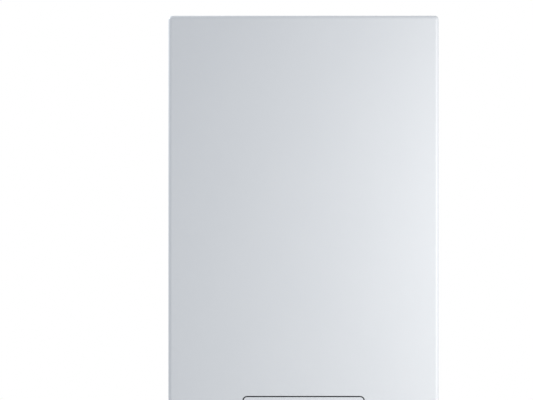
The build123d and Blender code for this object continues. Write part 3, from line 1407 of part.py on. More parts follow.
with BuildPart() as safety_valve_cap:
    add_rod((discharge_x, vessel_y, valve_head + running_gap), (0, 0, 1), valve_cap_radius,
            valve_cap_height)
    add_rod((discharge_x, vessel_y, valve_head - overrun), (0, 0, 1),
            valve_spindle_radius + valve_spindle_running, overrun + valve_cap_height - valve_edge / 2,
            mode=Mode.SUBTRACT)
    with Locations((discharge_x, vessel_y, valve_head - overrun)):
        with PolarLocations(valve_cap_radius, valve_cap_flutes):
            Cylinder(valve_flute_radius, valve_cap_height + 2 * overrun,
                     align=(Align.CENTER, Align.CENTER, Align.MIN), mode=Mode.SUBTRACT)
safety_valve_cap.part.label = "safety_valve_cap"

# Cable glands through the floor, one for the mains cable and two for controls
with BuildPart() as cable_glands:
    for gland_x, gland_y_depth in gland_places:
        foot = floor_z - gland_reach
        add_rod((gland_x, -gland_y_depth, foot), (0, 0, 1), gland_radius,
                gland_reach + panel_sheet + gland_nut_height + gland_inside)
        fillet(edges().filter_by(GeomType.CIRCLE).group_by(Axis.Z)[0], gland_edge)
    for gland_x, gland_y_depth in gland_places:
        for hex_foot in (floor_z - gland_nut_height, floor_z + panel_sheet):
            add_hex((gland_x, -gland_y_depth, hex_foot), (0, 0, 1), gland_nut_across,
                    gland_nut_height)
        add_rod((gland_x, -gland_y_depth, floor_z - gland_reach - overrun), (0, 0, 1),
                gland_bore, 2 * gland_reach + 2 * overrun, mode=Mode.SUBTRACT)
cable_glands.part.label = "cable_glands"

# One STEP file for each sub-part
pieces = [
    wall_rail, back_panel, wall_pads, side_panel_left, side_panel_right, top_panel, bottom_panel,
    cover_pegs, front_cover, flap_bezel, flap_pins, control_flap, control_box, control_box_lid,
    lid_screws, control_fascia, control_board, board_parts, display_lens, indicator_lights,
    heating_knob, water_knob, rocker_housing, power_rocker, gauge_case, gauge_dial, gauge_needle,
    gauge_lens, mounting_rail, contactors, terminal_block, power_board, heater_vessel,
    vessel_insulation, vessel_brackets, flange_gasket, element_flange, heating_elements,
    flange_bolts, element_cap, vessel_sensors, air_vent, air_vent_cap, pump_housing, pump_motor,
    pump_rotor, expansion_tank, tank_membrane, expansion_hose, flow_pipe, return_pipe,
    transfer_pipe, union_nuts, safety_valve, safety_valve_cap, cable_glands,
]
os.makedirs("parts", exist_ok=True)
for piece in pieces + buttons:
    export_step(piece.part, f"parts/{piece.part.label}.step")
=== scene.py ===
import json
import math
import bmesh
import bpy
from mathutils import Matrix, Vector


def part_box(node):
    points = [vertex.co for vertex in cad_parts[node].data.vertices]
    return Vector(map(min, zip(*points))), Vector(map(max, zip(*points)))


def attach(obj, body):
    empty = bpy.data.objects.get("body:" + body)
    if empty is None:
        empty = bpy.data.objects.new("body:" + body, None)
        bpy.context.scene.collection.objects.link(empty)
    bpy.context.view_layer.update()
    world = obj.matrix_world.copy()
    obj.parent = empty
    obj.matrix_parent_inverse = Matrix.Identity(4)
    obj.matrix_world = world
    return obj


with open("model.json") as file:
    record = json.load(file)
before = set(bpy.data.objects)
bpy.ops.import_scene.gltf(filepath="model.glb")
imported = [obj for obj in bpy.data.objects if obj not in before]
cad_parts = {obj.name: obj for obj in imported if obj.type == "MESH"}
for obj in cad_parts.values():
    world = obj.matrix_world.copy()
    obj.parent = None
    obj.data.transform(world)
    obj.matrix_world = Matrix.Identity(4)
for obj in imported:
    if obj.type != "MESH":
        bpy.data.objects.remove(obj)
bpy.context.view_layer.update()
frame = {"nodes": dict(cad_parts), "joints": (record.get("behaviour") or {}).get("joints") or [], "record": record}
scene = bpy.context.scene
nodes = frame["nodes"]
print("frame loaded:", len(nodes), "nodes")


# Shader maths as Python expressions

class Link:
    # a node's output, with operators that add Math nodes

    def __init__(self, tree, socket):
        self.tree = tree
        self.socket = socket

    def __add__(self, other):
        return self.tree.math("ADD", self, other)

    def __radd__(self, other):
        return self.tree.math("ADD", other, self)

    def __sub__(self, other):
        return self.tree.math("SUBTRACT", self, other)

    def __rsub__(self, other):
        return self.tree.math("SUBTRACT", other, self)

    def __mul__(self, other):
        return self.tree.math("MULTIPLY", self, other)

    def __rmul__(self, other):
        return self.tree.math("MULTIPLY", other, self)

    def __lt__(self, other):
        return self.tree.math("LESS_THAN", self, other)


class Tree:
    # a material's node tree

    def __init__(self, name):
        self.material = bpy.data.materials.new(name)
        self.material.use_nodes = True
        self.nodes = self.material.node_tree.nodes
        self.links = self.material.node_tree.links
        self.shader = self.nodes["Principled BSDF"]
        self.place = Link(self, self.nodes.new("ShaderNodeTexCoord").outputs["Object"])

    def put(self, socket, value):
        if isinstance(value, Link):
            self.links.new(value.socket, socket)
        else:
            socket.default_value = (*value, 1) if socket.type == "RGBA" else value

    def add(self, kind, inputs, output=0, stops=(), **settings):
        # settings and a ramp's stops, as (position, colour) pairs, are set before the inputs
        node = self.nodes.new("ShaderNode" + kind)
        for name, value in settings.items():
            setattr(node, name, value)
        for number, (position, color) in enumerate(stops):
            elements = node.color_ramp.elements
            element = elements[number] if number < 2 else elements.new(position)
            element.position, element.color = position, (*color, 1)
        for name, value in inputs.items():
            self.put(node.inputs[name], value)
        return Link(self, node.outputs[output])

    def set(self, **values):
        # sets the shader's inputs and gives back the material
        for name, value in values.items():
            self.put(self.shader.inputs[name.replace("_", " ")], value)
        return self.material

    def math(self, operation, *values):
        return self.add("Math", dict(enumerate(values)), operation=operation)

    def noise(self, size, detail=3, roughness=0.5, stretch=None):
        # size is the width of one patch in metres, before a stretch along the axes
        place = self.add("Mapping", {"Vector": self.place, "Scale": stretch}) if stretch else self.place
        return self.add("TexNoise", {"Vector": place, "Scale": 1 / size, "Detail": detail,
                                     "Roughness": roughness})

    def cells(self, size, output=0):
        return self.add("TexVoronoi", {"Vector": self.place, "Scale": 1 / size}, output)

    def axis(self, which, place=None):
        return self.add("SeparateXYZ", {0: place or self.place}, which)

    def mix(self, factor, low, high, blend="MIX"):
        return self.add("Mix", {0: factor, 6: low, 7: high}, 2, data_type="RGBA", blend_type=blend)

    def smooth(self, value, low, high):
        # 0 below low and 1 above high, with a soft step between
        return self.add("MapRange", {"Value": value, "From Min": low, "From Max": high},
                        interpolation_type="SMOOTHSTEP")

    def bump(self, height, depth):
        return self.add("Bump", {"Height": height, "Distance": depth, "Strength": 1.0})


# Finishes of one kind

casingTones = (0.730, 0.744, 0.766), (0.748, 0.760, 0.780)


def mottled(name, low, high, patches, roughness, swing, specks=None, skin=None, depth=0.0,
            metallic=0.0, coat=0.0, coatRoughness=0.03):
    # two tones in soft patches, specks that vary the roughness and a fine raised skin, each
    # given as noise; specks follow the patches and the skin the specks where none are given
    tree = Tree(name)
    specks = specks or patches
    tree.set(Base_Color=tree.mix(tree.noise(*patches), low, high), Metallic=metallic,
             Roughness=roughness + swing * tree.noise(*specks), Coat_Weight=coat,
             Coat_Roughness=coatRoughness)
    if depth:
        tree.set(Normal=tree.bump(tree.noise(*(skin or specks)), depth))
    return tree.material


def moulded(name, color, roughness, grain=0.0007, depth=0.00003):
    # moulded plastic: a spark-eroded grain and a slight cloudiness
    low, high = (tuple(share * value for value in color) for share in (0.84, 1.08))
    return mottled(name, low, high, (40 * grain, 2), roughness - 0.06, 0.14, specks=(grain, 3, 0.6),
                   depth=depth)


def printedInk(name, color, roughness=0.5):
    # a flat print, and also the painted shade laid flat in hollows, slightly uneven in tone and shine
    low = tuple(0.9 * value for value in color)
    return mottled(name, low, color, (0.0004, 2), roughness, 0.1)


# Finishes with a pattern of their own, with colours as linear values

def zincSheet():
    # galvanised sheet: crystals of different brightness with a dull bloom
    tree = Tree("zincSheet")
    tone = tree.axis(0, tree.cells(0.011, output=1))
    bloom = tree.noise(0.05, 4)
    color = tree.mix(tone * 0.6 + bloom * 0.4, (0.3588, 0.3744, 0.390), (0.46, 0.48, 0.50))
    return tree.set(Base_Color=color, Metallic=1.0, Roughness=0.36 + 0.16 * tone + 0.12 * bloom,
                    Normal=tree.bump(tree.noise(0.0013, 2), 0.00002))


heatBand = (0.075, 0.045, 0.040, 0.022)  # below the vessel's top: start, full, fading and end


def brushedStainless():
    # rolled sheet with grinding marks round the vessel and a blue-brown tint at its top weld
    tree = Tree("brushedStainless")
    drawn = tree.noise(0.0012, 3, 0.6, (0.05, 0.05, 1.0))
    height = tree.axis(2)
    start, full, fading, end = (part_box("heater_vessel")[1][2] - depth for depth in heatBand)
    heat = tree.smooth(height, start, full) * (1 - tree.smooth(height, fading, end))
    tint = tree.mix(heat * 0.55, (0.52, 0.51, 0.49), (0.40, 0.25, 0.13))
    tone = tree.mix(drawn, (0.40, 0.39, 0.38), (1.0, 1.0, 1.0))
    return tree.set(Base_Color=tree.mix(0.5, tint, tone, "MULTIPLY"), Metallic=1.0,
                    Roughness=0.22 + 0.20 * drawn, Normal=tree.bump(drawn, 0.00003))


def copperTube():
    # drawn tube: bright metal with brown handling marks and flux stains
    tree = Tree("copperTube")
    stain = tree.noise(0.035, 5, 0.6)
    grain = tree.noise(0.0010, 3, 0.5, (1.0, 1.0, 0.04))
    mark = tree.smooth(stain, 0.42, 0.66)
    return tree.set(Base_Color=tree.mix(mark, (0.80, 0.42, 0.27), (0.38, 0.17, 0.10)), Metallic=1.0,
                    Roughness=0.20 + 0.22 * mark + 0.10 * grain, Normal=tree.bump(grain, 0.00002))


def machinedBrass():
    # turned metal with faint lathe marks and a brown bloom
    tree = Tree("machinedBrass")
    stain = tree.noise(0.018, 4)
    lathe = tree.noise(0.0006, 2, 0.5, (0.1, 0.1, 1.0))
    color = tree.mix(tree.smooth(stain, 0.45, 0.75), (0.68, 0.45, 0.17), (0.33, 0.20, 0.08))
    return tree.set(Base_Color=color, Metallic=1.0, Roughness=0.24 + 0.16 * lathe + 0.12 * stain,
                    Normal=tree.bump(lathe, 0.00002))


def insulationFoam():
    # closed-cell foam with a faint mat of cells
    tree = Tree("insulationFoam")
    tone = tree.noise(0.022, 3)
    return tree.set(Base_Color=tree.mix(tone, (0.018, 0.020, 0.022), (0.036, 0.038, 0.041)),
                    Roughness=0.82 + 0.1 * tone, Normal=tree.bump(tree.cells(0.0019), 0.00045))


def braidedHose():
    # two sets of strands wound against each other
    tree = Tree("braidedHose")
    x, y, z = (tree.axis(number) for number in range(3))
    windings = [tree.math("SINE", run * 2600.0) for run in (x + y + z, x + y - z)]
    strand = tree.math("MAXIMUM", *windings) * 0.5 + 0.5
    return tree.set(Base_Color=tree.mix(strand, (0.05, 0.05, 0.05), (0.50, 0.51, 0.52)), Metallic=0.85,
                    Roughness=0.55 - 0.22 * strand, Normal=tree.bump(strand, 0.00035))


def strapWeave():
    # woven band: ribs across it and a coarser twill along it
    tree = Tree("strapWeave")
    x, y, z = (tree.axis(number) for number in range(3))
    ribs = tree.math("SINE", z * 5200.0) * tree.math("SINE", (x + y) * 3600.0)
    weave = ribs * 0.5 + 0.5
    return tree.set(Base_Color=tree.mix(weave, (0.06, 0.062, 0.066), (0.15, 0.155, 0.16)),
                    Roughness=0.62 + 0.12 * weave, Normal=tree.bump(weave, 0.00012))


def circuitBoard():
    # green solder resist over copper tracks, with round pads
    tree = Tree("circuitBoard")
    bands = tree.noise(0.010, 1, 0.3, (0.6, 1.0, 1.0)) * 46.0
    track = tree.smooth(tree.math("SINE", bands), 0.55, 0.75)
    pads = 1 - tree.smooth(tree.cells(0.0085), 0.13, 0.16)
    green = tree.mix(track, (0.004, 0.045, 0.018), (0.010, 0.105, 0.040))
    return tree.set(Base_Color=tree.mix(pads, green, (0.55, 0.53, 0.46)), Metallic=pads * 0.9,
                    Roughness=0.30 + 0.12 * track, Normal=tree.bump(track + pads, 0.00006))


def clearLens():
    # thin clear plastic with faint smears
    tree = Tree("clearLens")
    return tree.set(Base_Color=(0.80, 0.84, 0.86), Roughness=0.04 + 0.07 * tree.noise(0.02, 3),
                    Alpha=0.12, Coat_Weight=0.6, Coat_Roughness=0.03)


lampWidth = 0.004


def lampPlastic():
    # tinted lamp bodies: the first one from the left glows green
    tree = Tree("lampPlastic")
    first = tree.axis(0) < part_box("indicator_lights")[0][0] + lampWidth
    return tree.set(Base_Color=tree.mix(first, (0.07, 0.075, 0.07), (0.06, 0.42, 0.10)),
                    Roughness=0.16 + 0.08 * tree.noise(0.0010, 2),
                    Emission_Color=tree.mix(first, (0, 0, 0), (0.05, 0.75, 0.12)), Emission_Strength=0.8)


def weldSteel():
    # straw and blue heat colours beside a rippled bead
    tree = Tree("weldSteel")
    heat = tree.noise(0.006, 3)
    stops = (0.30, (0.42, 0.40, 0.38)), (0.50, (0.46, 0.34, 0.18)), (0.68, (0.20, 0.20, 0.28))
    color = tree.add("ValToRGB", {0: heat}, stops=stops)
    return tree.set(Base_Color=color, Metallic=1.0, Roughness=0.30 + 0.20 * heat,
                    Normal=tree.bump(tree.noise(0.0008), 0.00004))


blackPlastic = moulded("blackPlastic", (0.012, 0.012, 0.013), 0.44)

# The frame's material slots: sheet and paint, metals, plastics, then the rest
finishes = {
    "casing_paint": mottled("casingPaint", *casingTones, (0.09, 2), 0.36, 0.10, specks=(0.0011, 2),
                            skin=(0.0016, 2, 0.6), depth=0.00003, coat=0.12, coatRoughness=0.18),
    "flap_plastic": mottled("flapPaint", *casingTones, (0.05, 2), 0.34, 0.10, specks=(0.0009, 2),
                            skin=(0.0012, 2, 0.6), depth=0.00002, coat=0.12, coatRoughness=0.16),
    "tank_paint": mottled("tankEnamel", (0.34, 0.008, 0.006), (0.44, 0.014, 0.010), (0.06,), 0.22, 0.10,
                          specks=(0.0035, 2), depth=0.00008, coat=0.35, coatRoughness=0.10),
    "motor_paint": mottled("motorPaint", (0.030, 0.034, 0.040), (0.045, 0.050, 0.058), (0.03,), 0.34,
                           0.14, specks=(0.0018, 3), depth=0.00006, coat=0.15),
    "zinc_steel": zincSheet(), "stainless": brushedStainless(), "copper": copperTube(),
    "brass": machinedBrass(),
    "bright_steel": mottled("brightSteel", (0.46, 0.46, 0.45), (0.58, 0.58, 0.57), (0.004, 3), 0.24,
                            0.14, skin=(0.0008,), depth=0.00002, metallic=1.0),
    "element_steel": mottled("elementSteel", (0.22, 0.19, 0.17), (0.38, 0.34, 0.30), (0.014, 4), 0.38,
                             0.2, skin=(0.0007,), depth=0.00003, metallic=1.0),
    "pump_iron": mottled("castIron", (0.016, 0.018, 0.020), (0.045, 0.048, 0.052), (0.0022, 4, 0.65),
                         0.52, 0.22, depth=0.00030),
    "black_plastic": blackPlastic, "needle_black": blackPlastic,
    "dark_plastic": moulded("bezelPlastic", (0.040, 0.043, 0.047), 0.50),
    "grey_plastic": moulded("boxPlastic", (0.28, 0.30, 0.32), 0.52, 0.0010, 0.00005),
    "fascia_plastic": moulded("fasciaPlastic", (0.040, 0.045, 0.050), 0.46, 0.0006, 0.00004),
    "knob_plastic": moulded("knobPlastic", (0.36, 0.38, 0.40), 0.34),
    "button_plastic": moulded("buttonPlastic", (0.45, 0.47, 0.49), 0.36),
    "reset_plastic": moulded("resetPlastic", (0.42, 0.045, 0.030), 0.36),
    "rocker_plastic": moulded("rockerPlastic", (0.012, 0.012, 0.013), 0.16, 0.0012, 0.00001),
    "contactor_plastic": moulded("contactorPlastic", (0.52, 0.52, 0.48), 0.50, 0.0012),
    "terminal_plastic": moulded("terminalPlastic", (0.42, 0.42, 0.40), 0.48, 0.0012),
    "gland_plastic": moulded("glandPlastic", (0.018, 0.018, 0.020), 0.50, 0.0010, 0.00005),
    "valve_plastic": moulded("valvePlastic", (0.40, 0.012, 0.008), 0.22, 0.0014, 0.00002),
    "black_rubber": mottled("blackRubber", (0.012, 0.012, 0.012), (0.035, 0.034, 0.033), (0.006, 4),
                            0.70, 0.15, skin=(0.0012, 3), depth=0.00010),
    "dial_white": mottled("dialWhite", (0.78, 0.78, 0.75), (0.84, 0.84, 0.82), (0.0006, 2), 0.48, 0.1),
    "foam": insulationFoam(), "braided_hose": braidedHose(), "circuit_board": circuitBoard(),
    "clear_lens": clearLens(), "lamp_plastic": lampPlastic(),
}

# Finishes of the pieces that are made here alone, the painted shade in hollows among them
inksAndShade = {
    "white": printedInk("inkWhite", (0.70, 0.72, 0.73)),
    "black": printedInk("inkBlack", (0.012, 0.012, 0.013)),
    "red": printedInk("inkRed", (0.55, 0.035, 0.025)),
    "green": printedInk("inkGreen", (0.04, 0.33, 0.08)),
    "lcd": printedInk("displayGlass", (0.30, 0.42, 0.44), 0.18),
    "digit": printedInk("displayDigit", (0.010, 0.014, 0.016), 0.35),
    # painted shade: a near-black flat laid where screws, slots, groove lines and wire holes are hollow, in place
    # of the shade that falls in them
    "recess": printedInk("paintedRecessShade", (0.020, 0.020, 0.021), 0.6),
    "resin": mottled("resinBlock", (0.014, 0.018, 0.030), (0.026, 0.032, 0.048), (0.004, 3), 0.26, 0.2,
                     depth=0.00010),
    "weld": weldSteel(), "strap": strapWeave(),
}

for part in frame["record"]["subparts"]:
    for slot in nodes[part["node"]].material_slots:
        slot.material = finishes[part["material_slot"]]


# Helpers for new pieces

forward = (0, -1, 0)
upward = (0, 0, 1)
# a screw's profile is in shares of its radius and height, the length and width of the painted-shade
# cross on its head in shares of its radius, and a nut's edge in shares of its width
smallValues = {"ink": 0.0001, "wordInk": 0.00006, "nutEdge": 0.03, "cross": (1.05, 0.24, 0.00012),
               "screw": ((0, 0), (1, 0), (1, 0.5), (0.75, 0.95), (0, 1))}


def boxOf(node):
    # low corner, high corner and middle
    low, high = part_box(node)
    return Vector(low), Vector(high), (Vector(low) + Vector(high)) / 2


def mountPlace(name):
    places = {mount["name"]: mount["pos_m"] for mount in frame["record"]["mounts"]}
    return Vector(places[name])


def placePiece(name, mesh, finish, body="boiler"):
    # a finish is one of the frame's material slots, an ink or the painted shade
    piece = bpy.data.objects.new(name, mesh)
    scene.collection.objects.link(piece)
    if finish in finishes:
        mesh.materials.append(finishes[finish])
    else:
        mesh.materials.append(inksAndShade[finish])
    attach(piece, body)


def finishPiece(name, shape, finish, body="boiler", smooth=0):
    # turns a bmesh into an object, with edges sharper than the smooth angle left hard
    mesh = bpy.data.meshes.new(name)
    shape.to_mesh(mesh)
    shape.free()
    for face in mesh.polygons:
        face.use_smooth = smooth > 0
    if smooth:
        mesh.set_sharp_from_angle(angle=math.radians(smooth))
    placePiece(name, mesh, finish, body)


def degreeTurn(degrees, axis, size=3):
    return Matrix.Rotation(math.radians(degrees), size, axis)


def joinInto(shape, extra, middle=(0, 0, 0), direction=upward):
    # turns a part that was made along +Z, moves it and adds it to a shape
    turn = Vector(upward).rotation_difference(Vector(direction)).to_matrix()
    bmesh.ops.rotate(extra, verts=extra.verts, matrix=turn)
    bmesh.ops.translate(extra, verts=extra.verts, vec=middle)
    mesh = bpy.data.meshes.new("joined")
    extra.to_mesh(mesh)
    extra.free()
    shape.from_mesh(mesh)
    bpy.data.meshes.remove(mesh)


def bevelAll(shape, width):
    bmesh.ops.bevel(shape, geom=shape.edges[:], offset=width, offset_type="OFFSET", affect="EDGES",
                    segments=2, profile=0.5, material=-1)


def addBar(shape, middle, size, turn=0, axis="Y"):
    # a block of a given size, turned by degrees about an axis through its middle
    made = bmesh.ops.create_cube(shape, size=1.0)
    bmesh.ops.scale(shape, verts=made["verts"], vec=size)
    bmesh.ops.rotate(shape, verts=made["verts"], matrix=degreeTurn(turn, axis))
    bmesh.ops.translate(shape, verts=made["verts"], vec=middle)


def addBlock(shape, middle, size, edge):
    # a moulded block with rounded edges
    block = bmesh.new()
    addBar(block, (0, 0, 0), size)
    bevelAll(block, edge)
    joinInto(shape, block, middle)


def addNut(shape, middle, direction, across, height):
    # a hexagon that starts at a point and rises along a direction
    nut = bmesh.new()
    radius = across / math.sqrt(3)
    bmesh.ops.create_cone(nut, cap_ends=True, segments=6, radius1=radius, radius2=radius, depth=height)
    bmesh.ops.translate(nut, verts=nut.verts, vec=(0, 0, height / 2))
    bevelAll(nut, across * smallValues["nutEdge"])
    joinInto(shape, nut, middle, direction)


def addRing(shape, middle, direction, profile, segments, ripple=None):
    # (radius, height) pairs, spun about a direction through a point; pairs that start on the
    # axis form an open profile, others a closed one
    ring = bmesh.new()
    corners = [ring.verts.new((radius, 0, height)) for radius, height in profile]
    following = corners[1:] + (corners[:1] if profile[0][0] else [])
    sides = [ring.edges.new(pair) for pair in zip(corners, following)]
    bmesh.ops.spin(ring, geom=corners + sides, cent=(0, 0, 0), axis=(0, 0, 1), angle=math.tau,
                   steps=segments, use_merge=True)
    bmesh.ops.remove_doubles(ring, verts=ring.verts, dist=0.000001)
    bmesh.ops.recalc_face_normals(ring, faces=ring.faces)
    if ripple:
        count, depth = ripple
        for vert in ring.verts:
            wave = depth * math.sin(count * math.atan2(vert.co.y, vert.co.x))
            stretch = 1 + wave / math.hypot(vert.co.x, vert.co.y)
            vert.co.x *= stretch
            vert.co.y *= stretch
    joinInto(shape, ring, middle, direction)


def addArc(shape, middle, radius, width, start, end, depth, segments=40):
    # a flat arc band that faces -Y, with angles in degrees from +X towards +Z
    band = bmesh.new()
    inner = band.verts.new((radius - width / 2, 0, 0))
    outer = band.verts.new((radius + width / 2, 0, 0))
    line = band.edges.new((inner, outer))
    steps = max(4, int(segments * abs(end - start) / 360))
    bmesh.ops.spin(band, geom=[inner, outer, line], cent=(0, 0, 0), axis=forward,
                   angle=math.radians(end - start), steps=steps)
    bmesh.ops.rotate(band, verts=band.verts, matrix=degreeTurn(-start, "Y"))
    for face in band.faces:
        face.normal_update()
        if face.normal.y > 0:
            face.normal_flip()
    joinInto(shape, band, (middle[0], depth, middle[1]))


def addScrew(heads, recessShades, middle, direction, radius, height, turn):
    # a pan head in one shape and, in another, a flat cross of painted shade on its head where the cross-shaped
    # hollow is
    length, width, thickness = smallValues["cross"]
    profile = [(radius * out, height * up) for out, up in smallValues["screw"]]
    addRing(heads, middle, direction, profile, segments=24)
    cross = bmesh.new()
    for angle in (turn, turn + 90):
        addBar(cross, (0, 0, height), (length * radius, width * radius, thickness), angle, "Z")
    joinInto(recessShades, cross, middle, direction)


def addWords(name, words, middle, height, depth, finish):
    # digits as a flat mesh on a plane that faces -Y
    data = bpy.data.curves.new(name, "FONT")
    data.body = words
    data.size = height
    data.align_x = "CENTER"
    data.align_y = "CENTER"
    data.extrude = smallValues["wordInk"]
    data.resolution_u = 3
    source = bpy.data.objects.new(name + "Curve", data)
    scene.collection.objects.link(source)
    evaluated = source.evaluated_get(bpy.context.evaluated_depsgraph_get())
    mesh = bpy.data.meshes.new_from_object(evaluated)
    bpy.data.objects.remove(source)
    mesh.transform(Matrix.Translation((middle[0], depth, middle[1])) @ degreeTurn(90, "X", 4))
    placePiece(name, mesh, finish)


# Control fascia: printed scales, display, gauge dial, switch and key symbols

scaleValues = {"inkLift": 0.00015, "tick": 0.0028, "halfTick": 0.00168, "tickWidth": 0.0005,
               "radius": 0.0192, "numberHeight": 0.0036, "numberRadius": 0.0232, "sweep": 135,
               "numbers": {"heating_knob": range(30, 81, 10), "water_knob": range(35, 61, 5)},
               "pointer": (0.0012, 0.0003, 0.0062)}


def clockPlace(middle, radius, angle):
    # a place round a dial, with the angle clockwise from the top
    return (middle[0] + radius * math.sin(math.radians(angle)),
            middle[1] + radius * math.cos(math.radians(angle)))


def inkPlane():
    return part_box("control_fascia")[0][1] - scaleValues["inkLift"]


def knobScale(knob, words):
    # ticks and numbers round a knob, and a white line on its grip bar
    values = scaleValues
    low, high, middle = boxOf(knob)
    face, centre, sweep = inkPlane(), (middle.x, middle.z), values["sweep"]
    shape, pointer = bmesh.new(), bmesh.new()
    last = len(words) - 1
    for number in range(2 * last + 1):
        angle = sweep * (number / last - 1)
        x, z = clockPlace(centre, values["radius"], angle)
        length = values["halfTick"] if number % 2 else values["tick"]
        addBar(shape, (x, face, z), (values["tickWidth"], smallValues["ink"], length), angle)
    finishPiece(knob + "Scale", shape, "white")
    for number, word in enumerate(words):
        place = clockPlace(centre, values["numberRadius"], sweep * (2 * number / last - 1))
        addWords(f"{knob}Number{number}", str(word), place, values["numberHeight"], face, "white")
    place = (middle.x, low.y - smallValues["ink"], high.z - values["pointer"][2])
    addBar(pointer, place, values["pointer"])
    finishPiece(knob + "Pointer", pointer, "white", knob)


# bars are aside, up, width, height and turn; arcs are aside, up, radius, width, start, end and the
# segments of a full turn
signValues = {
    "aside": 0.0245, "up": 0.0235, "keyLift": 0.00005, "keyInk": 0.0002,
    "bars": {
        "heating_knob": ((-0.00225, 0, 0.0007, 0.0060, 0), (-0.00075, 0, 0.0007, 0.0060, 0),
                         (0.00075, 0, 0.0007, 0.0060, 0), (0.00225, 0, 0.0007, 0.0060, 0),
                         (0, -0.0021, 0.0060, 0.0007, 0), (0, 0.0021, 0.0060, 0.0007, 0)),
        "water_knob": ((-0.0012, 0.00075, 0.0042, 0.00105, 0), (-0.0009, 0.0021, 0.0007, 0.0024, 0),
                       (-0.0009, 0.0030, 0.0030, 0.0007, 0)),
        "button_info": ((0, -0.0005, 0.0007, 0.0022, 0), (0, 0.0014, 0.0007, 0.0007, 0)),
        "button_minus": ((0, 0, 0.0032, 0.0007, 0),),
        "button_plus": ((0, 0, 0.0032, 0.0007, 0), (0, 0, 0.0007, 0.0032, 0)),
        "button_reset": ((-0.0006, 0.0017, 0.0011, 0.0005, 35),)},
    "arcs": {
        "water_knob": ((0.0009, -0.00045, 0.0012, 0.00105, 0, 90, 60),
                       (0.0021, -0.00255, 0.00045, 0.0009, 0, 360, 16)),
        "button_reset": ((0, 0, 0.0013, 0.0006, 130, 410, 60),)}}


def printSigns():
    # a radiator and a tap beside the knobs; an i, a minus, a plus and a turning arrow on the keys
    values = signValues
    for name, bars in values["bars"].items():
        low, high, middle = boxOf(name)
        x, y, z, thickness = middle.x, low.y - values["keyLift"], middle.z, values["keyInk"]
        finish, body = "white" if name == "button_reset" else "black", name
        if name.endswith("knob"):
            x, y, z, thickness = x - values["aside"], inkPlane(), z + values["up"], smallValues["ink"]
            finish, body = "white", "boiler"
        shape = bmesh.new()
        for aside, up, width, height, turn in bars:
            addBar(shape, (x + aside, y, z + up), (width, thickness, height), turn)
        for aside, up, radius, width, start, end, segments in values["arcs"].get(name, ()):
            addArc(shape, (x + aside, z + up), radius, width, start, end, y, segments)
        finishPiece(name + "Sign", shape, finish, body)


# a segment is its place across and up in half digits, and its turn
displayValues = {"behindLens": 0.0006, "margin": 0.0014, "thickness": 0.0010, "edge": 0.0002,
                 "height": 0.0062, "width": 0.0036, "stroke": 0.0013, "digitDepth": 0.00035,
                 "digitThickness": 0.0002, "digits": ((-0.0075, "abcdefg"), (0.0035, "abcdef")),
                 "segments": {"a": (0, 1, 0), "b": (1, 0.5, 90), "c": (1, -0.5, 90), "d": (0, -1, 0),
                              "e": (-1, -0.5, 90), "f": (-1, 0.5, 90), "g": (0, 0, 0)},
                 "cut": 0.00156, "degreeAside": 0.0115, "degreeRadius": 0.0011, "degreeWidth": 0.0006,
                 "degreeDepth": 0.0003}


def displayPanel():
    # pale liquid-crystal panel behind the window with two seven-segment digits
    values = displayValues
    low, high, middle = boxOf("display_lens")
    front, thickness, margins = high.y - values["behindLens"], values["thickness"], 2 * values["margin"]
    panel = bmesh.new()
    addBlock(panel, (middle.x, front + thickness, middle.z),
             (high.x - low.x - margins, thickness, high.z - low.z - margins), values["edge"])
    finishPiece("displayPanel", panel, "lcd")
    height, width, stroke = values["height"], values["width"], values["stroke"]
    depth = front + values["digitDepth"]
    digits = bmesh.new()
    for place, lit in values["digits"]:
        for name in lit:
            across, up, turn = values["segments"][name]
            length = (height if turn else 2 * width) - values["cut"]
            spot = (middle.x + place + across * width, depth, middle.z + up * height)
            addBar(digits, spot, (length, values["digitThickness"], stroke), turn)
    addArc(digits, (middle.x + values["degreeAside"], middle.z + height), values["degreeRadius"],
           values["degreeWidth"], 0, 360, front + values["degreeDepth"], 24)
    finishPiece("displayDigits", digits, "digit")


gaugeValues = {"sweep": 135, "ticks": 20, "lift": 0.00012, "longRadius": 0.0142, "shortRadius": 0.0147,
               "longTick": (0.00045, 0.0001, 0.0026), "shortTick": (0.00028, 0.0001, 0.0016),
               "last": 4, "numberRadius": 0.0105, "numberHeight": 0.0034, "bandRadius": 0.0161,
               "bandWidth": 0.0010, "green": (0.25, 0.50), "red": (0.75, 1.0)}


def gaugeScale():
    # ticks, numbers and two coloured bands on the pressure gauge
    values = gaugeValues
    low, high, middle = boxOf("gauge_dial")
    face, centre = low.y - values["lift"], (middle.x, middle.z)
    sweep, count, last = values["sweep"], values["ticks"], values["last"]
    ticks = bmesh.new()
    for number in range(count + 1):
        angle = sweep * (2 * number / count - 1)
        kind = "short" if number * last % count else "long"
        x, z = clockPlace(centre, values[kind + "Radius"], angle)
        addBar(ticks, (x, face, z), values[kind + "Tick"], angle)
    finishPiece("gaugeTicks", ticks, "black")
    for number in range(last + 1):
        place = clockPlace(centre, values["numberRadius"], sweep * (2 * number / last - 1))
        addWords(f"gaugeNumber{number}", str(number), place, values["numberHeight"], face, "black")
    for color in ("green", "red"):
        start, end = (90 + sweep - 2 * sweep * share for share in values[color])
        band = bmesh.new()
        addArc(band, centre, values["bandRadius"], values["bandWidth"], start, end, face)
        finishPiece(f"gauge{color.capitalize()}", band, color)


rockerValues = {"tilt": 10, "faceTurn": 10.25, "faceDepth": 0.00478, "faceRise": 0.0049,
                "bar": (0.0008, 0.0002, 0.0042),
                "ring": ((0.0014, 0), (0.0020, 0), (0.0020, 0.0002), (0.0014, 0.0002))}


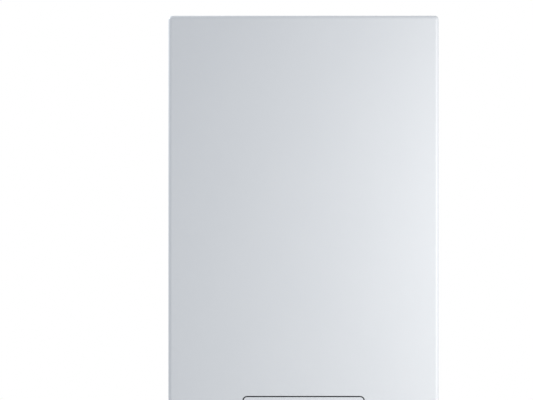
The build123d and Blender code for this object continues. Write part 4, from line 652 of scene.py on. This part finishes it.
def rockerSigns():
    # a bar for on at the top and a ring for off below, on the rocker's two faces
    values = rockerValues
    pivots = {joint["name"]: Vector(joint["pos_m"]) for joint in frame["joints"] if "pos_m" in joint}
    for sign, up in (("On", 1), ("Off", -1)):
        shape = bmesh.new()
        if sign == "On":
            addBar(shape, (0, 0, 0), values["bar"])
        else:
            addRing(shape, (0, 0, 0), forward, values["ring"], segments=32)
        for turn, move in ((values["faceTurn"] * up, (0, -values["faceDepth"], values["faceRise"] * up)),
                           (values["tilt"], pivots["power_rocker_tilt"])):
            bmesh.ops.rotate(shape, verts=shape.verts, matrix=degreeTurn(turn, "X"))
            bmesh.ops.translate(shape, verts=shape.verts, vec=move)
        finishPiece("rocker" + sign, shape, "white", "power_rocker")


for knobName, knobNumbers in scaleValues["numbers"].items():
    knobScale(knobName, knobNumbers)
printSigns()
displayPanel()
gaugeScale()
rockerSigns()
print("fascia printed")


# Control box: screws with painted shade in their hollows, a moulded frame round its lid, and what the boards carry

lidValues = {"headRadius": 0.0036, "cross": (0.0040, 0.00012, 0.0009), "crossTurns": (30, 120),
             "frameInset": 0.0085, "frameWidth": 0.0016, "frameHeight": 0.0005}


def lidDetails():
    # painted shade in the cross-shaped hollows of the lid's screws, and a raised frame on its front
    values = lidValues
    low, high, middle = boxOf("lid_screws")
    recessShades = bmesh.new()
    for x in (low.x + values["headRadius"], high.x - values["headRadius"]):
        for z in (low.z + values["headRadius"], high.z - values["headRadius"]):
            for angle in values["crossTurns"]:
                addBar(recessShades, (x, low.y, z), values["cross"], angle)
    finishPiece("lidScrewRecessShades", recessShades, "recess")
    low, high, middle = boxOf("control_box_lid")
    border = bmesh.new()
    inset, width, thickness = values["frameInset"], values["frameWidth"], values["frameHeight"]
    across, up = (high.x - low.x) / 2 - inset - 2 * values["headRadius"], (high.z - low.z) / 2 - inset
    front = low.y - thickness / 2
    for side in (-1, 1):
        addBar(border, (middle.x + side * across, front, middle.z), (width, thickness, 2 * up + width))
        addBar(border, (middle.x, front, middle.z + side * up), (2 * across - width, thickness, width))
    finishPiece("lidFrame", border, "grey_plastic")


terminalValues = {"count": 5, "slot": 0.001, "rise": 0.012, "sunk": 0.005, "screw": (0.0024, 0.0012),
                  "turn": 20, "entry": (0.0062, 0.0070, 0.0002), "entryDepth": 0.0085}


def terminalDetails():
    # two rows of clamp screws with painted shade in their cross-shaped hollows, and painted shade at the wire
    # holes beside them
    values = terminalValues
    low, high, middle = boxOf("terminal_block")
    pitch = (high.x - low.x + values["slot"]) / values["count"]
    heads, recessShades, entryShades = (bmesh.new() for number in range(3))
    for number in range(values["count"]):
        x = low.x + (number + 0.5) * pitch - values["slot"] / 2
        for side in (-1, 1):
            place = (x, low.y + values["sunk"], middle.z + side * values["rise"])
            addScrew(heads, recessShades, place, forward, *values["screw"], values["turn"] * number)
            face = high.z if side > 0 else low.z
            addBar(entryShades, (x, low.y + values["entryDepth"], face), values["entry"])
    finishPiece("terminalScrews", heads, "brass", smooth=40)
    finishPiece("terminalRecessShades", recessShades, "recess")
    finishPiece("terminalEntryShades", entryShades, "recess")


contactorValues = {"pitch": 0.038, "width": 0.034, "step": 0.010, "ledge": 0.012,
                   "sunk": 0.0148, "screw": (0.0024, 0.0012), "turns": (15, 50, 85),
                   "slide": (0.0080, 0.0024, 0.0120), "slideEdge": 0.0004,
                   "groove": (0.0260, 0.0006, 0.0010), "grooveUp": 0.011}


def contactorDetails():
    # slides and groove lines of painted shade on the fronts, and three screws on each ledge with painted shade in
    # their cross-shaped hollows
    values = contactorValues
    low, high, middle = boxOf("contactors")
    heads, recessShades, slides, grooveShades = (bmesh.new() for number in range(4))
    for number, turn in enumerate(values["turns"]):
        x = high.x - values["width"] / 2 - number * values["pitch"]
        addBlock(slides, (x, low.y, middle.z), values["slide"], values["slideEdge"])
        for side in (-1, 1):
            addBar(grooveShades, (x, low.y, middle.z + side * values["grooveUp"]), values["groove"])
            ledge = middle.z + side * ((high.z - low.z) / 2 - values["ledge"] / 2)
            for across in (-values["step"], 0, values["step"]):
                addScrew(heads, recessShades, (x + across, low.y + values["sunk"], ledge), forward,
                         *values["screw"], turn)
    finishPiece("contactorSlides", slides, "button_plastic")
    finishPiece("contactorGrooveShades", grooveShades, "recess")
    finishPiece("contactorScrews", heads, "bright_steel", smooth=40)
    finishPiece("contactorRecessShades", recessShades, "recess")


boardValues = {"cover": 0.0002, "relays": 4, "relayInset": 0.016, "relayPitch": 0.024,
               "relay": (0.019, 0.016, 0.015), "relayEdge": 0.0006, "transformerInset": 0.056,
               "transformer": (0.034, 0.024, 0.030), "transformerEdge": 0.0012,
               "strap": (0.0352, 0.0244, 0.0100), "strapEdge": 0.0004, "capacitorInset": 0.020,
               "capacitorRadius": 0.006, "capacitorHeight": 0.020, "capacitorRim": 0.0006,
               "beads": ((0.0020, 0), (0.0026, 0.0006), (0.0032, 0))}


def powerBoardDetails():
    # sleeves over the relays, the transformer and the capacitor, and the transformer's steel strap
    values = boardValues
    low, high, middle = boxOf("power_board")
    board = low.y + values["transformer"][1]
    cover, rim = values["cover"], values["capacitorRim"]
    relays, block, strap, sleeve = (bmesh.new() for number in range(4))
    size = [side + 2 * cover for side in values["relay"]]
    for number in range(values["relays"]):
        x = low.x + values["relayInset"] + number * values["relayPitch"]
        addBlock(relays, (x, board - values["relay"][1] / 2, middle.z), size, values["relayEdge"])
    finishPiece("relayCovers", relays, "black_plastic")
    place = Vector((high.x - values["transformerInset"], board - values["transformer"][1] / 2, middle.z))
    size = [side + 2 * cover for side in values["transformer"]]
    addBlock(block, place, size, values["transformerEdge"])
    finishPiece("transformerResin", block, "resin")
    addBlock(strap, place - Vector((0, 2 * cover, 0)), values["strap"], values["strapEdge"])
    finishPiece("transformerStrap", strap, "bright_steel")
    foot = (high.x - values["capacitorInset"], board, middle.z)
    radius, height = values["capacitorRadius"] + cover, values["capacitorHeight"]
    profile = [(0, 0), (radius, 0), *((radius - sunk, up) for up, sunk in values["beads"]),
               (radius, height - rim), (radius - rim, height + cover), (0, height + cover)]
    addRing(sleeve, foot, forward, profile, segments=32)
    finishPiece("capacitorSleeve", sleeve, "resin", smooth=50)


lidDetails()
terminalDetails()
contactorDetails()
powerBoardDetails()
print("control box fitted")


# Water side: welds, straps, ferrules, grommets, caps and the motor's small parts

# the bead is in shares of its half width and its height
weldValues = {"width": 0.0026, "height": 0.0010, "ripple": 0.0040, "rippleDepth": 0.00016,
              "bead": ((-1, -0.4), (-0.7, 0.6), (0, 1), (0.7, 0.6), (1, -0.4)),
              "neck": 0.036, "neckBelowFlange": 0.014, "port": 0.013, "boss": 0.007,
              "seamBelowPort": 0.0185, "seamBelowFoam": 0.012, "portAboveMouth": 0.012}
sensorTurns = (-28, 28)  # degrees from straight ahead to each sensor


def sensorRays():
    for turn in sensorTurns:
        yield Vector((math.sin(math.radians(turn)), -math.cos(math.radians(turn)), 0))


def addWeld(shape, middle, direction, radius):
    # a half-round bead whose ripples follow one another at a torch's pace
    values = weldValues
    half, height = values["width"] / 2, values["height"]
    profile = [(radius + rise * height, along * half) for along, rise in values["bead"]]
    count = round(math.tau * radius / values["ripple"])
    addRing(shape, middle, direction, profile, 4 * count, ripple=(count, values["rippleDepth"]))


def vesselWelds():
    # seams round the vessel and its neck, and beads at its ports and sensors
    values = weldValues
    low, high, middle = boxOf("vessel_insulation")
    vesselLow = boxOf("heater_vessel")[0]
    radius = middle.x - vesselLow.x
    portZ = boxOf("vessel_sensors")[2].z
    shape = bmesh.new()
    rings = ((portZ - values["seamBelowPort"], radius), (low.z - values["seamBelowFoam"], radius),
             (boxOf("element_flange")[0].z - values["neckBelowFlange"], values["neck"]),
             (vesselLow.z + values["portAboveMouth"], values["port"]))
    for z, ringRadius in rings:
        addWeld(shape, (middle.x, middle.y, z), upward, ringRadius)
    axis = Vector((middle.x, middle.y, portZ))
    addWeld(shape, axis + Vector((radius, 0, 0)), (1, 0, 0), values["port"])
    for ray in sensorRays():
        addWeld(shape, axis + ray * radius, ray, values["boss"])
    finishPiece("vesselWelds", shape, "weld", smooth=60)


strapValues = {"width": 0.014, "thickness": 0.0009, "sunk": 0.0002, "edge": 0.0003, "fromEnds": 0.055,
               "buckle": (0.024, 0.0028, 0.020), "buckleEdge": 0.0006}


def insulationStraps():
    # two woven straps with buckles at the front
    values = strapValues
    low, high, middle = boxOf("vessel_insulation")
    radius = (high.x - low.x) / 2
    half, sunk, edge = values["width"] / 2, values["sunk"], values["edge"]
    outer = radius + values["thickness"]
    profile = [(radius - sunk, -half), (outer - sunk, -half), (outer, edge - half),
               (outer, half - edge), (outer - sunk, half), (radius - sunk, half)]
    (width, bar, height), curve = values["buckle"], values["buckleEdge"]
    front = middle.y - outer - bar / 2 + curve
    straps, buckles = bmesh.new(), bmesh.new()
    for z in (low.z + values["fromEnds"], high.z - values["fromEnds"]):
        addRing(straps, (middle.x, middle.y, z), upward, profile, segments=96)
        for side in (-1, 0, 1):
            aside, up = side * (width - bar) / 2, side * (height - bar) / 2
            addBlock(buckles, (middle.x + aside, front, z), (bar, bar, height), curve)
            if side:
                addBlock(buckles, (middle.x, front, z + up), (width, bar, bar), curve)
    finishPiece("insulationStraps", straps, "strap", smooth=50)
    finishPiece("strapBuckles", buckles, "black_plastic")


ferruleValues = {"hose": 0.0065, "inside": 0.0062, "length": 0.020, "crimps": 3,
                 "crimp": ((0.0072, 0), (0.0079, 0.22), (0.0079, 0.72), (0.0072, 0.94)),
                 "nutAcross": 0.019, "nutHeight": 0.009}


def hoseFerrules():
    # crimped collars on both ends of the hose, and a nut under the expansion vessel
    values = ferruleValues
    low, high, middle = boxOf("expansion_hose")
    pitch = values["length"] / values["crimps"]
    profile = [(values["inside"], 0)]
    for number in range(values["crimps"]):
        profile += [(radius, (number + share) * pitch) for radius, share in values["crimp"]]
    profile.append((values["inside"], values["length"]))
    tankEnd = Vector((low.x + values["hose"], high.y - values["hose"], high.z))
    pipeEnd = Vector((high.x - values["hose"], low.y, low.z + values["hose"]))
    collars = bmesh.new()
    addRing(collars, tankEnd - Vector((0, 0, values["nutHeight"])), (0, 0, -1), profile, segments=40)
    addRing(collars, pipeEnd, (0, 1, 0), profile, segments=40)
    finishPiece("hoseFerrules", collars, "bright_steel", smooth=40)
    nut = bmesh.new()
    addNut(nut, tankEnd, (0, 0, -1), values["nutAcross"], values["nutHeight"])
    finishPiece("hoseNut", nut, "brass")


grommetValues = {"sheet": 0.0012, "lip": 0.0026, "lower": 0.0018, "upper": 0.0030, "clear": 0.0002,
                 "lowerEdge": 0.0008, "upperEdge": 0.0010,
                 "pipes": (("heating_flow", 0.011, 0.0145), ("heating_return", 0.011, 0.0145),
                           ("safety_discharge", 0.0075, 0.0110))}


def pipeGrommets():
    # rubber rings that clip into the floor's holes round the pipes
    values = grommetValues
    sheet, lower, edge = values["sheet"], values["lower"], values["lowerEdge"]
    foot = boxOf("bottom_panel")[1].z - sheet
    shape = bmesh.new()
    for mount, pipe, hole in values["pipes"]:
        place = mountPlace(mount)
        inner, outer, waist = pipe + values["clear"], hole + values["lip"], hole - values["clear"]
        profile = [(inner, -lower), (outer - edge, -lower), (outer, -edge), (outer, 0), (waist, 0),
                   (waist, sheet), (outer, sheet), (outer, sheet + values["upperEdge"]),
                   (inner, sheet + values["upper"])]
        addRing(shape, (place.x, place.y, foot), upward, profile, segments=40)
    finishPiece("pipeGrommets", shape, "black_rubber", smooth=40)


capValues = {"valveRadius": 0.0044, "valveHeight": 0.0090, "valveProud": 0.0002, "valveBelowTop": 0.077,
             "edge": 0.0007, "plugRadius": 0.0046, "plugHeight": 0.0050, "plugBack": 0.0060}


def capProfile(radius, height):
    # a solid round cap with a chamfered rim, from its foot up
    edge = capValues["edge"]
    return [(0, 0), (radius, 0), (radius, height - edge), (radius - edge, height), (0, height)]


def smallCaps():
    # a dust cap on the expansion vessel's valve and plugs on the two sensors
    values = capValues
    tankLow, tankHigh, tankMiddle = boxOf("expansion_tank")
    cap = bmesh.new()
    foot = (tankMiddle.x, tankLow.y + values["valveHeight"], tankHigh.z - values["valveBelowTop"])
    height = values["valveHeight"] + values["valveProud"]
    addRing(cap, foot, forward, capProfile(values["valveRadius"], height), segments=32)
    finishPiece("tankValveCap", cap, "black_plastic", smooth=40)
    vessel = boxOf("vessel_insulation")[2]
    low, high, middle = boxOf("vessel_sensors")
    reach = (vessel.y - low.y) / math.cos(math.radians(sensorTurns[1])) - values["plugBack"]
    plugs = bmesh.new()
    for ray in sensorRays():
        addRing(plugs, Vector((vessel.x, vessel.y, middle.z)) + ray * reach, ray,
                capProfile(values["plugRadius"], values["plugHeight"]), segments=24)
    finishPiece("sensorPlugs", plugs, "black_plastic", smooth=40)


motorValues = {
    "faceSunk": 0.003, "ring": ((0.0270, 0), (0.0270, 0.0008), (0.0284, 0.0008), (0.0284, 0)),
    "screwRing": 0.0325, "screw": (0.0028, 0.0018), "screwAngles": (45, 135, 225, 315),
    "crossTurn": 20, "slot": (0.0125, 0.0002, 0.0016), "slotTurn": 30,
    "boxInset": 0.003, "boxWidth": 0.044, "boxDepth": 0.040, "lidSize": (0.0452, 0.0412, 0.0022),
    "lidRise": 0.0010, "lidEdge": 0.0006, "lidScrew": (0.0024, 0.0012), "lidScrewAside": 0.016,
    "lidScrewInset": 0.005, "lidScrewTurn": 40, "knobAside": 0.008, "knobDown": 0.0085,
    "knob": ((0, 0), (0.0048, 0), (0.0044, 0.0028), (0, 0.0028)),
    "knobSlot": (0.0075, 0.0002, 0.0012), "knobTurn": -50, "dotRing": 0.0066,
    "dots": ((40, 0.0005), (90, 0.0006), (140, 0.0007)), "glandAcross": 0.013, "glandHeight": 0.0050,
    "gland": ((0.0026, 0), (0.0054, 0), (0.0050, 0.0022), (0.0036, 0.0032), (0.0026, 0.0032))}


def motorDetails():
    # front ring and screws, and the terminal box's lid, speed selector with three dots, and gland; the screws'
    # cross-shaped hollows, the slot in the front and the slot in the selector are painted shade
    values = motorValues
    low, high, middle = boxOf("pump_motor")
    x, z, face = middle.x, low.z + (high.x - low.x) / 2, low.y + values["faceSunk"]
    thin = smallValues["ink"]
    rings, heads, recessShades, lid, gland = (bmesh.new() for number in range(5))
    addRing(rings, (x, face, z), forward, values["ring"], segments=64)
    for angle in values["screwAngles"]:
        screwX, screwZ = clockPlace((x, z), values["screwRing"], angle)
        turn = angle + values["crossTurn"]
        addScrew(heads, recessShades, (screwX, face, screwZ), forward, *values["screw"], turn)
    addBar(recessShades, (x, low.y, z), values["slot"], values["slotTurn"])
    boxRear = high.y - values["boxInset"]
    boxFront = boxRear - values["boxDepth"]
    boxMiddle, top = (boxRear + boxFront) / 2, high.z + values["lidRise"]
    addBlock(lid, (x, boxMiddle, top - values["lidSize"][2] / 2), values["lidSize"], values["lidEdge"])
    for side in (-1, 1):
        place = (x + side * values["lidScrewAside"], boxRear - values["lidScrewInset"], top)
        addScrew(heads, recessShades, place, upward, *values["lidScrew"], side * values["lidScrewTurn"])
    knobX, knobZ = x - values["knobAside"], high.z - values["knobDown"]
    addRing(rings, (knobX, boxFront, knobZ), forward, values["knob"], segments=32)
    knobTop = boxFront - values["knob"][-1][1]
    addBar(recessShades, (knobX, knobTop, knobZ), values["knobSlot"], values["knobTurn"])
    for angle, radius in values["dots"]:
        dotX, dotZ = clockPlace((knobX, knobZ), values["dotRing"], angle)
        profile = [(0, 0), (radius, 0), (radius, thin), (0, thin)]
        addRing(heads, (dotX, boxFront, dotZ), forward, profile, segments=12)
    side = Vector((x + values["boxWidth"] / 2, boxMiddle, knobZ))
    addNut(gland, side, (1, 0, 0), values["glandAcross"], values["glandHeight"])
    addRing(gland, side + Vector((values["glandHeight"], 0, 0)), (1, 0, 0), values["gland"], segments=32)
    finishPiece("motorRings", rings, "motor_paint", smooth=40)
    finishPiece("motorScrews", heads, "bright_steel", smooth=40)
    finishPiece("motorRecessShades", recessShades, "recess")
    finishPiece("motorBoxLid", lid, "black_plastic")
    finishPiece("motorGland", gland, "gland_plastic", smooth=40)


vesselWelds()
insulationStraps()
hoseFerrules()
pipeGrommets()
smallCaps()
motorDetails()
print("water side fitted")


# Stage: floor, lamps, white surroundings and the camera at the photograph's view

stageValues = {"floorZ": -0.92, "floorRadius": 1.9, "floorFade": (0.9, 1.9), "floorGrain": 0.004,
               "floorTones": ((0.80, 0.80, 0.79), (0.84, 0.84, 0.83)), "floorRoughness": 0.8,
               "skyTone": (0.87, 0.925, 1.0), "skyStrength": 0.508}

photo = {"width": 533, "height": 400, "casingLeft": 168.2, "casingRight": 439.0, "casingTop": 15.5,
         "distance": 4.2, "sensor": 36}

lamps = {
    "key": {"at": (0.66, -0.96, -0.27), "aim": (0.20, -0.31, -0.36), "size": (0.35, 0.9), "watts": 5.7,
            "tone": (1.0, 0.985, 0.955)},
    "rim": {"at": (-1.0, -0.07, 0.60), "aim": (-0.15, -0.25, 0.10), "size": (0.4, 0.4), "watts": 9.5,
            "tone": (0.95, 0.98, 1.0)},
}


def makeFloor():
    # a pale floor that fades into the white background at its rim
    mesh = bpy.data.meshes.new("floor")
    shape = bmesh.new()
    bmesh.ops.create_circle(shape, cap_ends=True, segments=96, radius=stageValues["floorRadius"])
    bmesh.ops.translate(shape, verts=shape.verts, vec=(0, 0, stageValues["floorZ"]))
    shape.to_mesh(mesh)
    shape.free()
    floor = bpy.data.objects.new("floor", mesh)
    scene.collection.objects.link(floor)
    tree = Tree("floorPaint")
    x, y = tree.axis(0), tree.axis(1)
    fromMiddle = tree.math("POWER", x * x + y * y, 0.5)
    paint = tree.mix(tree.noise(stageValues["floorGrain"]), *stageValues["floorTones"])
    mesh.materials.append(tree.set(Base_Color=paint, Roughness=stageValues["floorRoughness"],
                                   Alpha=1 - tree.smooth(fromMiddle, *stageValues["floorFade"])))


def makeSurroundings():
    # white where the camera and reflections look, a plain soft light elsewhere
    world = bpy.data.worlds.new("surroundings")
    scene.world = world
    world.use_nodes = True
    branch, links = world.node_tree.nodes, world.node_tree.links
    light = branch["Background"]
    light.inputs["Color"].default_value = (*stageValues["skyTone"], 1)
    light.inputs["Strength"].default_value = stageValues["skyStrength"]
    white = branch.new("ShaderNodeBackground")
    white.inputs["Color"].default_value = (1, 1, 1, 1)
    path = branch.new("ShaderNodeLightPath")
    seen = path.outputs["Is Camera Ray"]
    for kind in ("Is Glossy Ray", "Is Transmission Ray"):
        either = branch.new("ShaderNodeMath")
        either.operation = "MAXIMUM"
        links.new(seen, either.inputs[0])
        links.new(path.outputs[kind], either.inputs[1])
        seen = either.outputs[0]
    pick = branch.new("ShaderNodeMixShader")
    for place, source in enumerate((seen, light.outputs[0], white.outputs[0])):
        links.new(source, pick.inputs[place])
    links.new(pick.outputs[0], branch["World Output"].inputs["Surface"])


def aimed(obj, at, aim):
    obj.location = at
    obj.rotation_euler = (Vector(aim) - Vector(at)).to_track_quat("-Z", "Y").to_euler()


def makeLamps():
    for name, lamp in lamps.items():
        data = bpy.data.lights.new(name, "AREA")
        data.shape = "RECTANGLE"
        data.size, data.size_y = lamp["size"]
        data.energy = lamp["watts"]
        data.color = lamp["tone"]
        lampObject = bpy.data.objects.new(name, data)
        scene.collection.objects.link(lampObject)
        aimed(lampObject, lamp["at"], lamp["aim"])


def makeCamera():
    low, high = (Vector(corner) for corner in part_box("front_cover"))
    metresPerPixel = (high.x - low.x) / (photo["casingRight"] - photo["casingLeft"])
    middleX = low.x + (photo["width"] / 2 - photo["casingLeft"]) * metresPerPixel
    middleZ = high.z - (photo["height"] / 2 - photo["casingTop"]) * metresPerPixel
    data = bpy.data.cameras.new("photoView")
    data.sensor_width = photo["sensor"]
    data.lens = data.sensor_width * photo["distance"] / (photo["width"] * metresPerPixel)
    camera = bpy.data.objects.new("photoView", data)
    scene.collection.objects.link(camera)
    aimed(camera, (middleX, low.y - photo["distance"], middleZ), (middleX, 0, middleZ))
    scene.camera = camera


makeFloor()
makeSurroundings()
makeLamps()
makeCamera()
scene.view_settings.view_transform = "Standard"
print("stage ready")
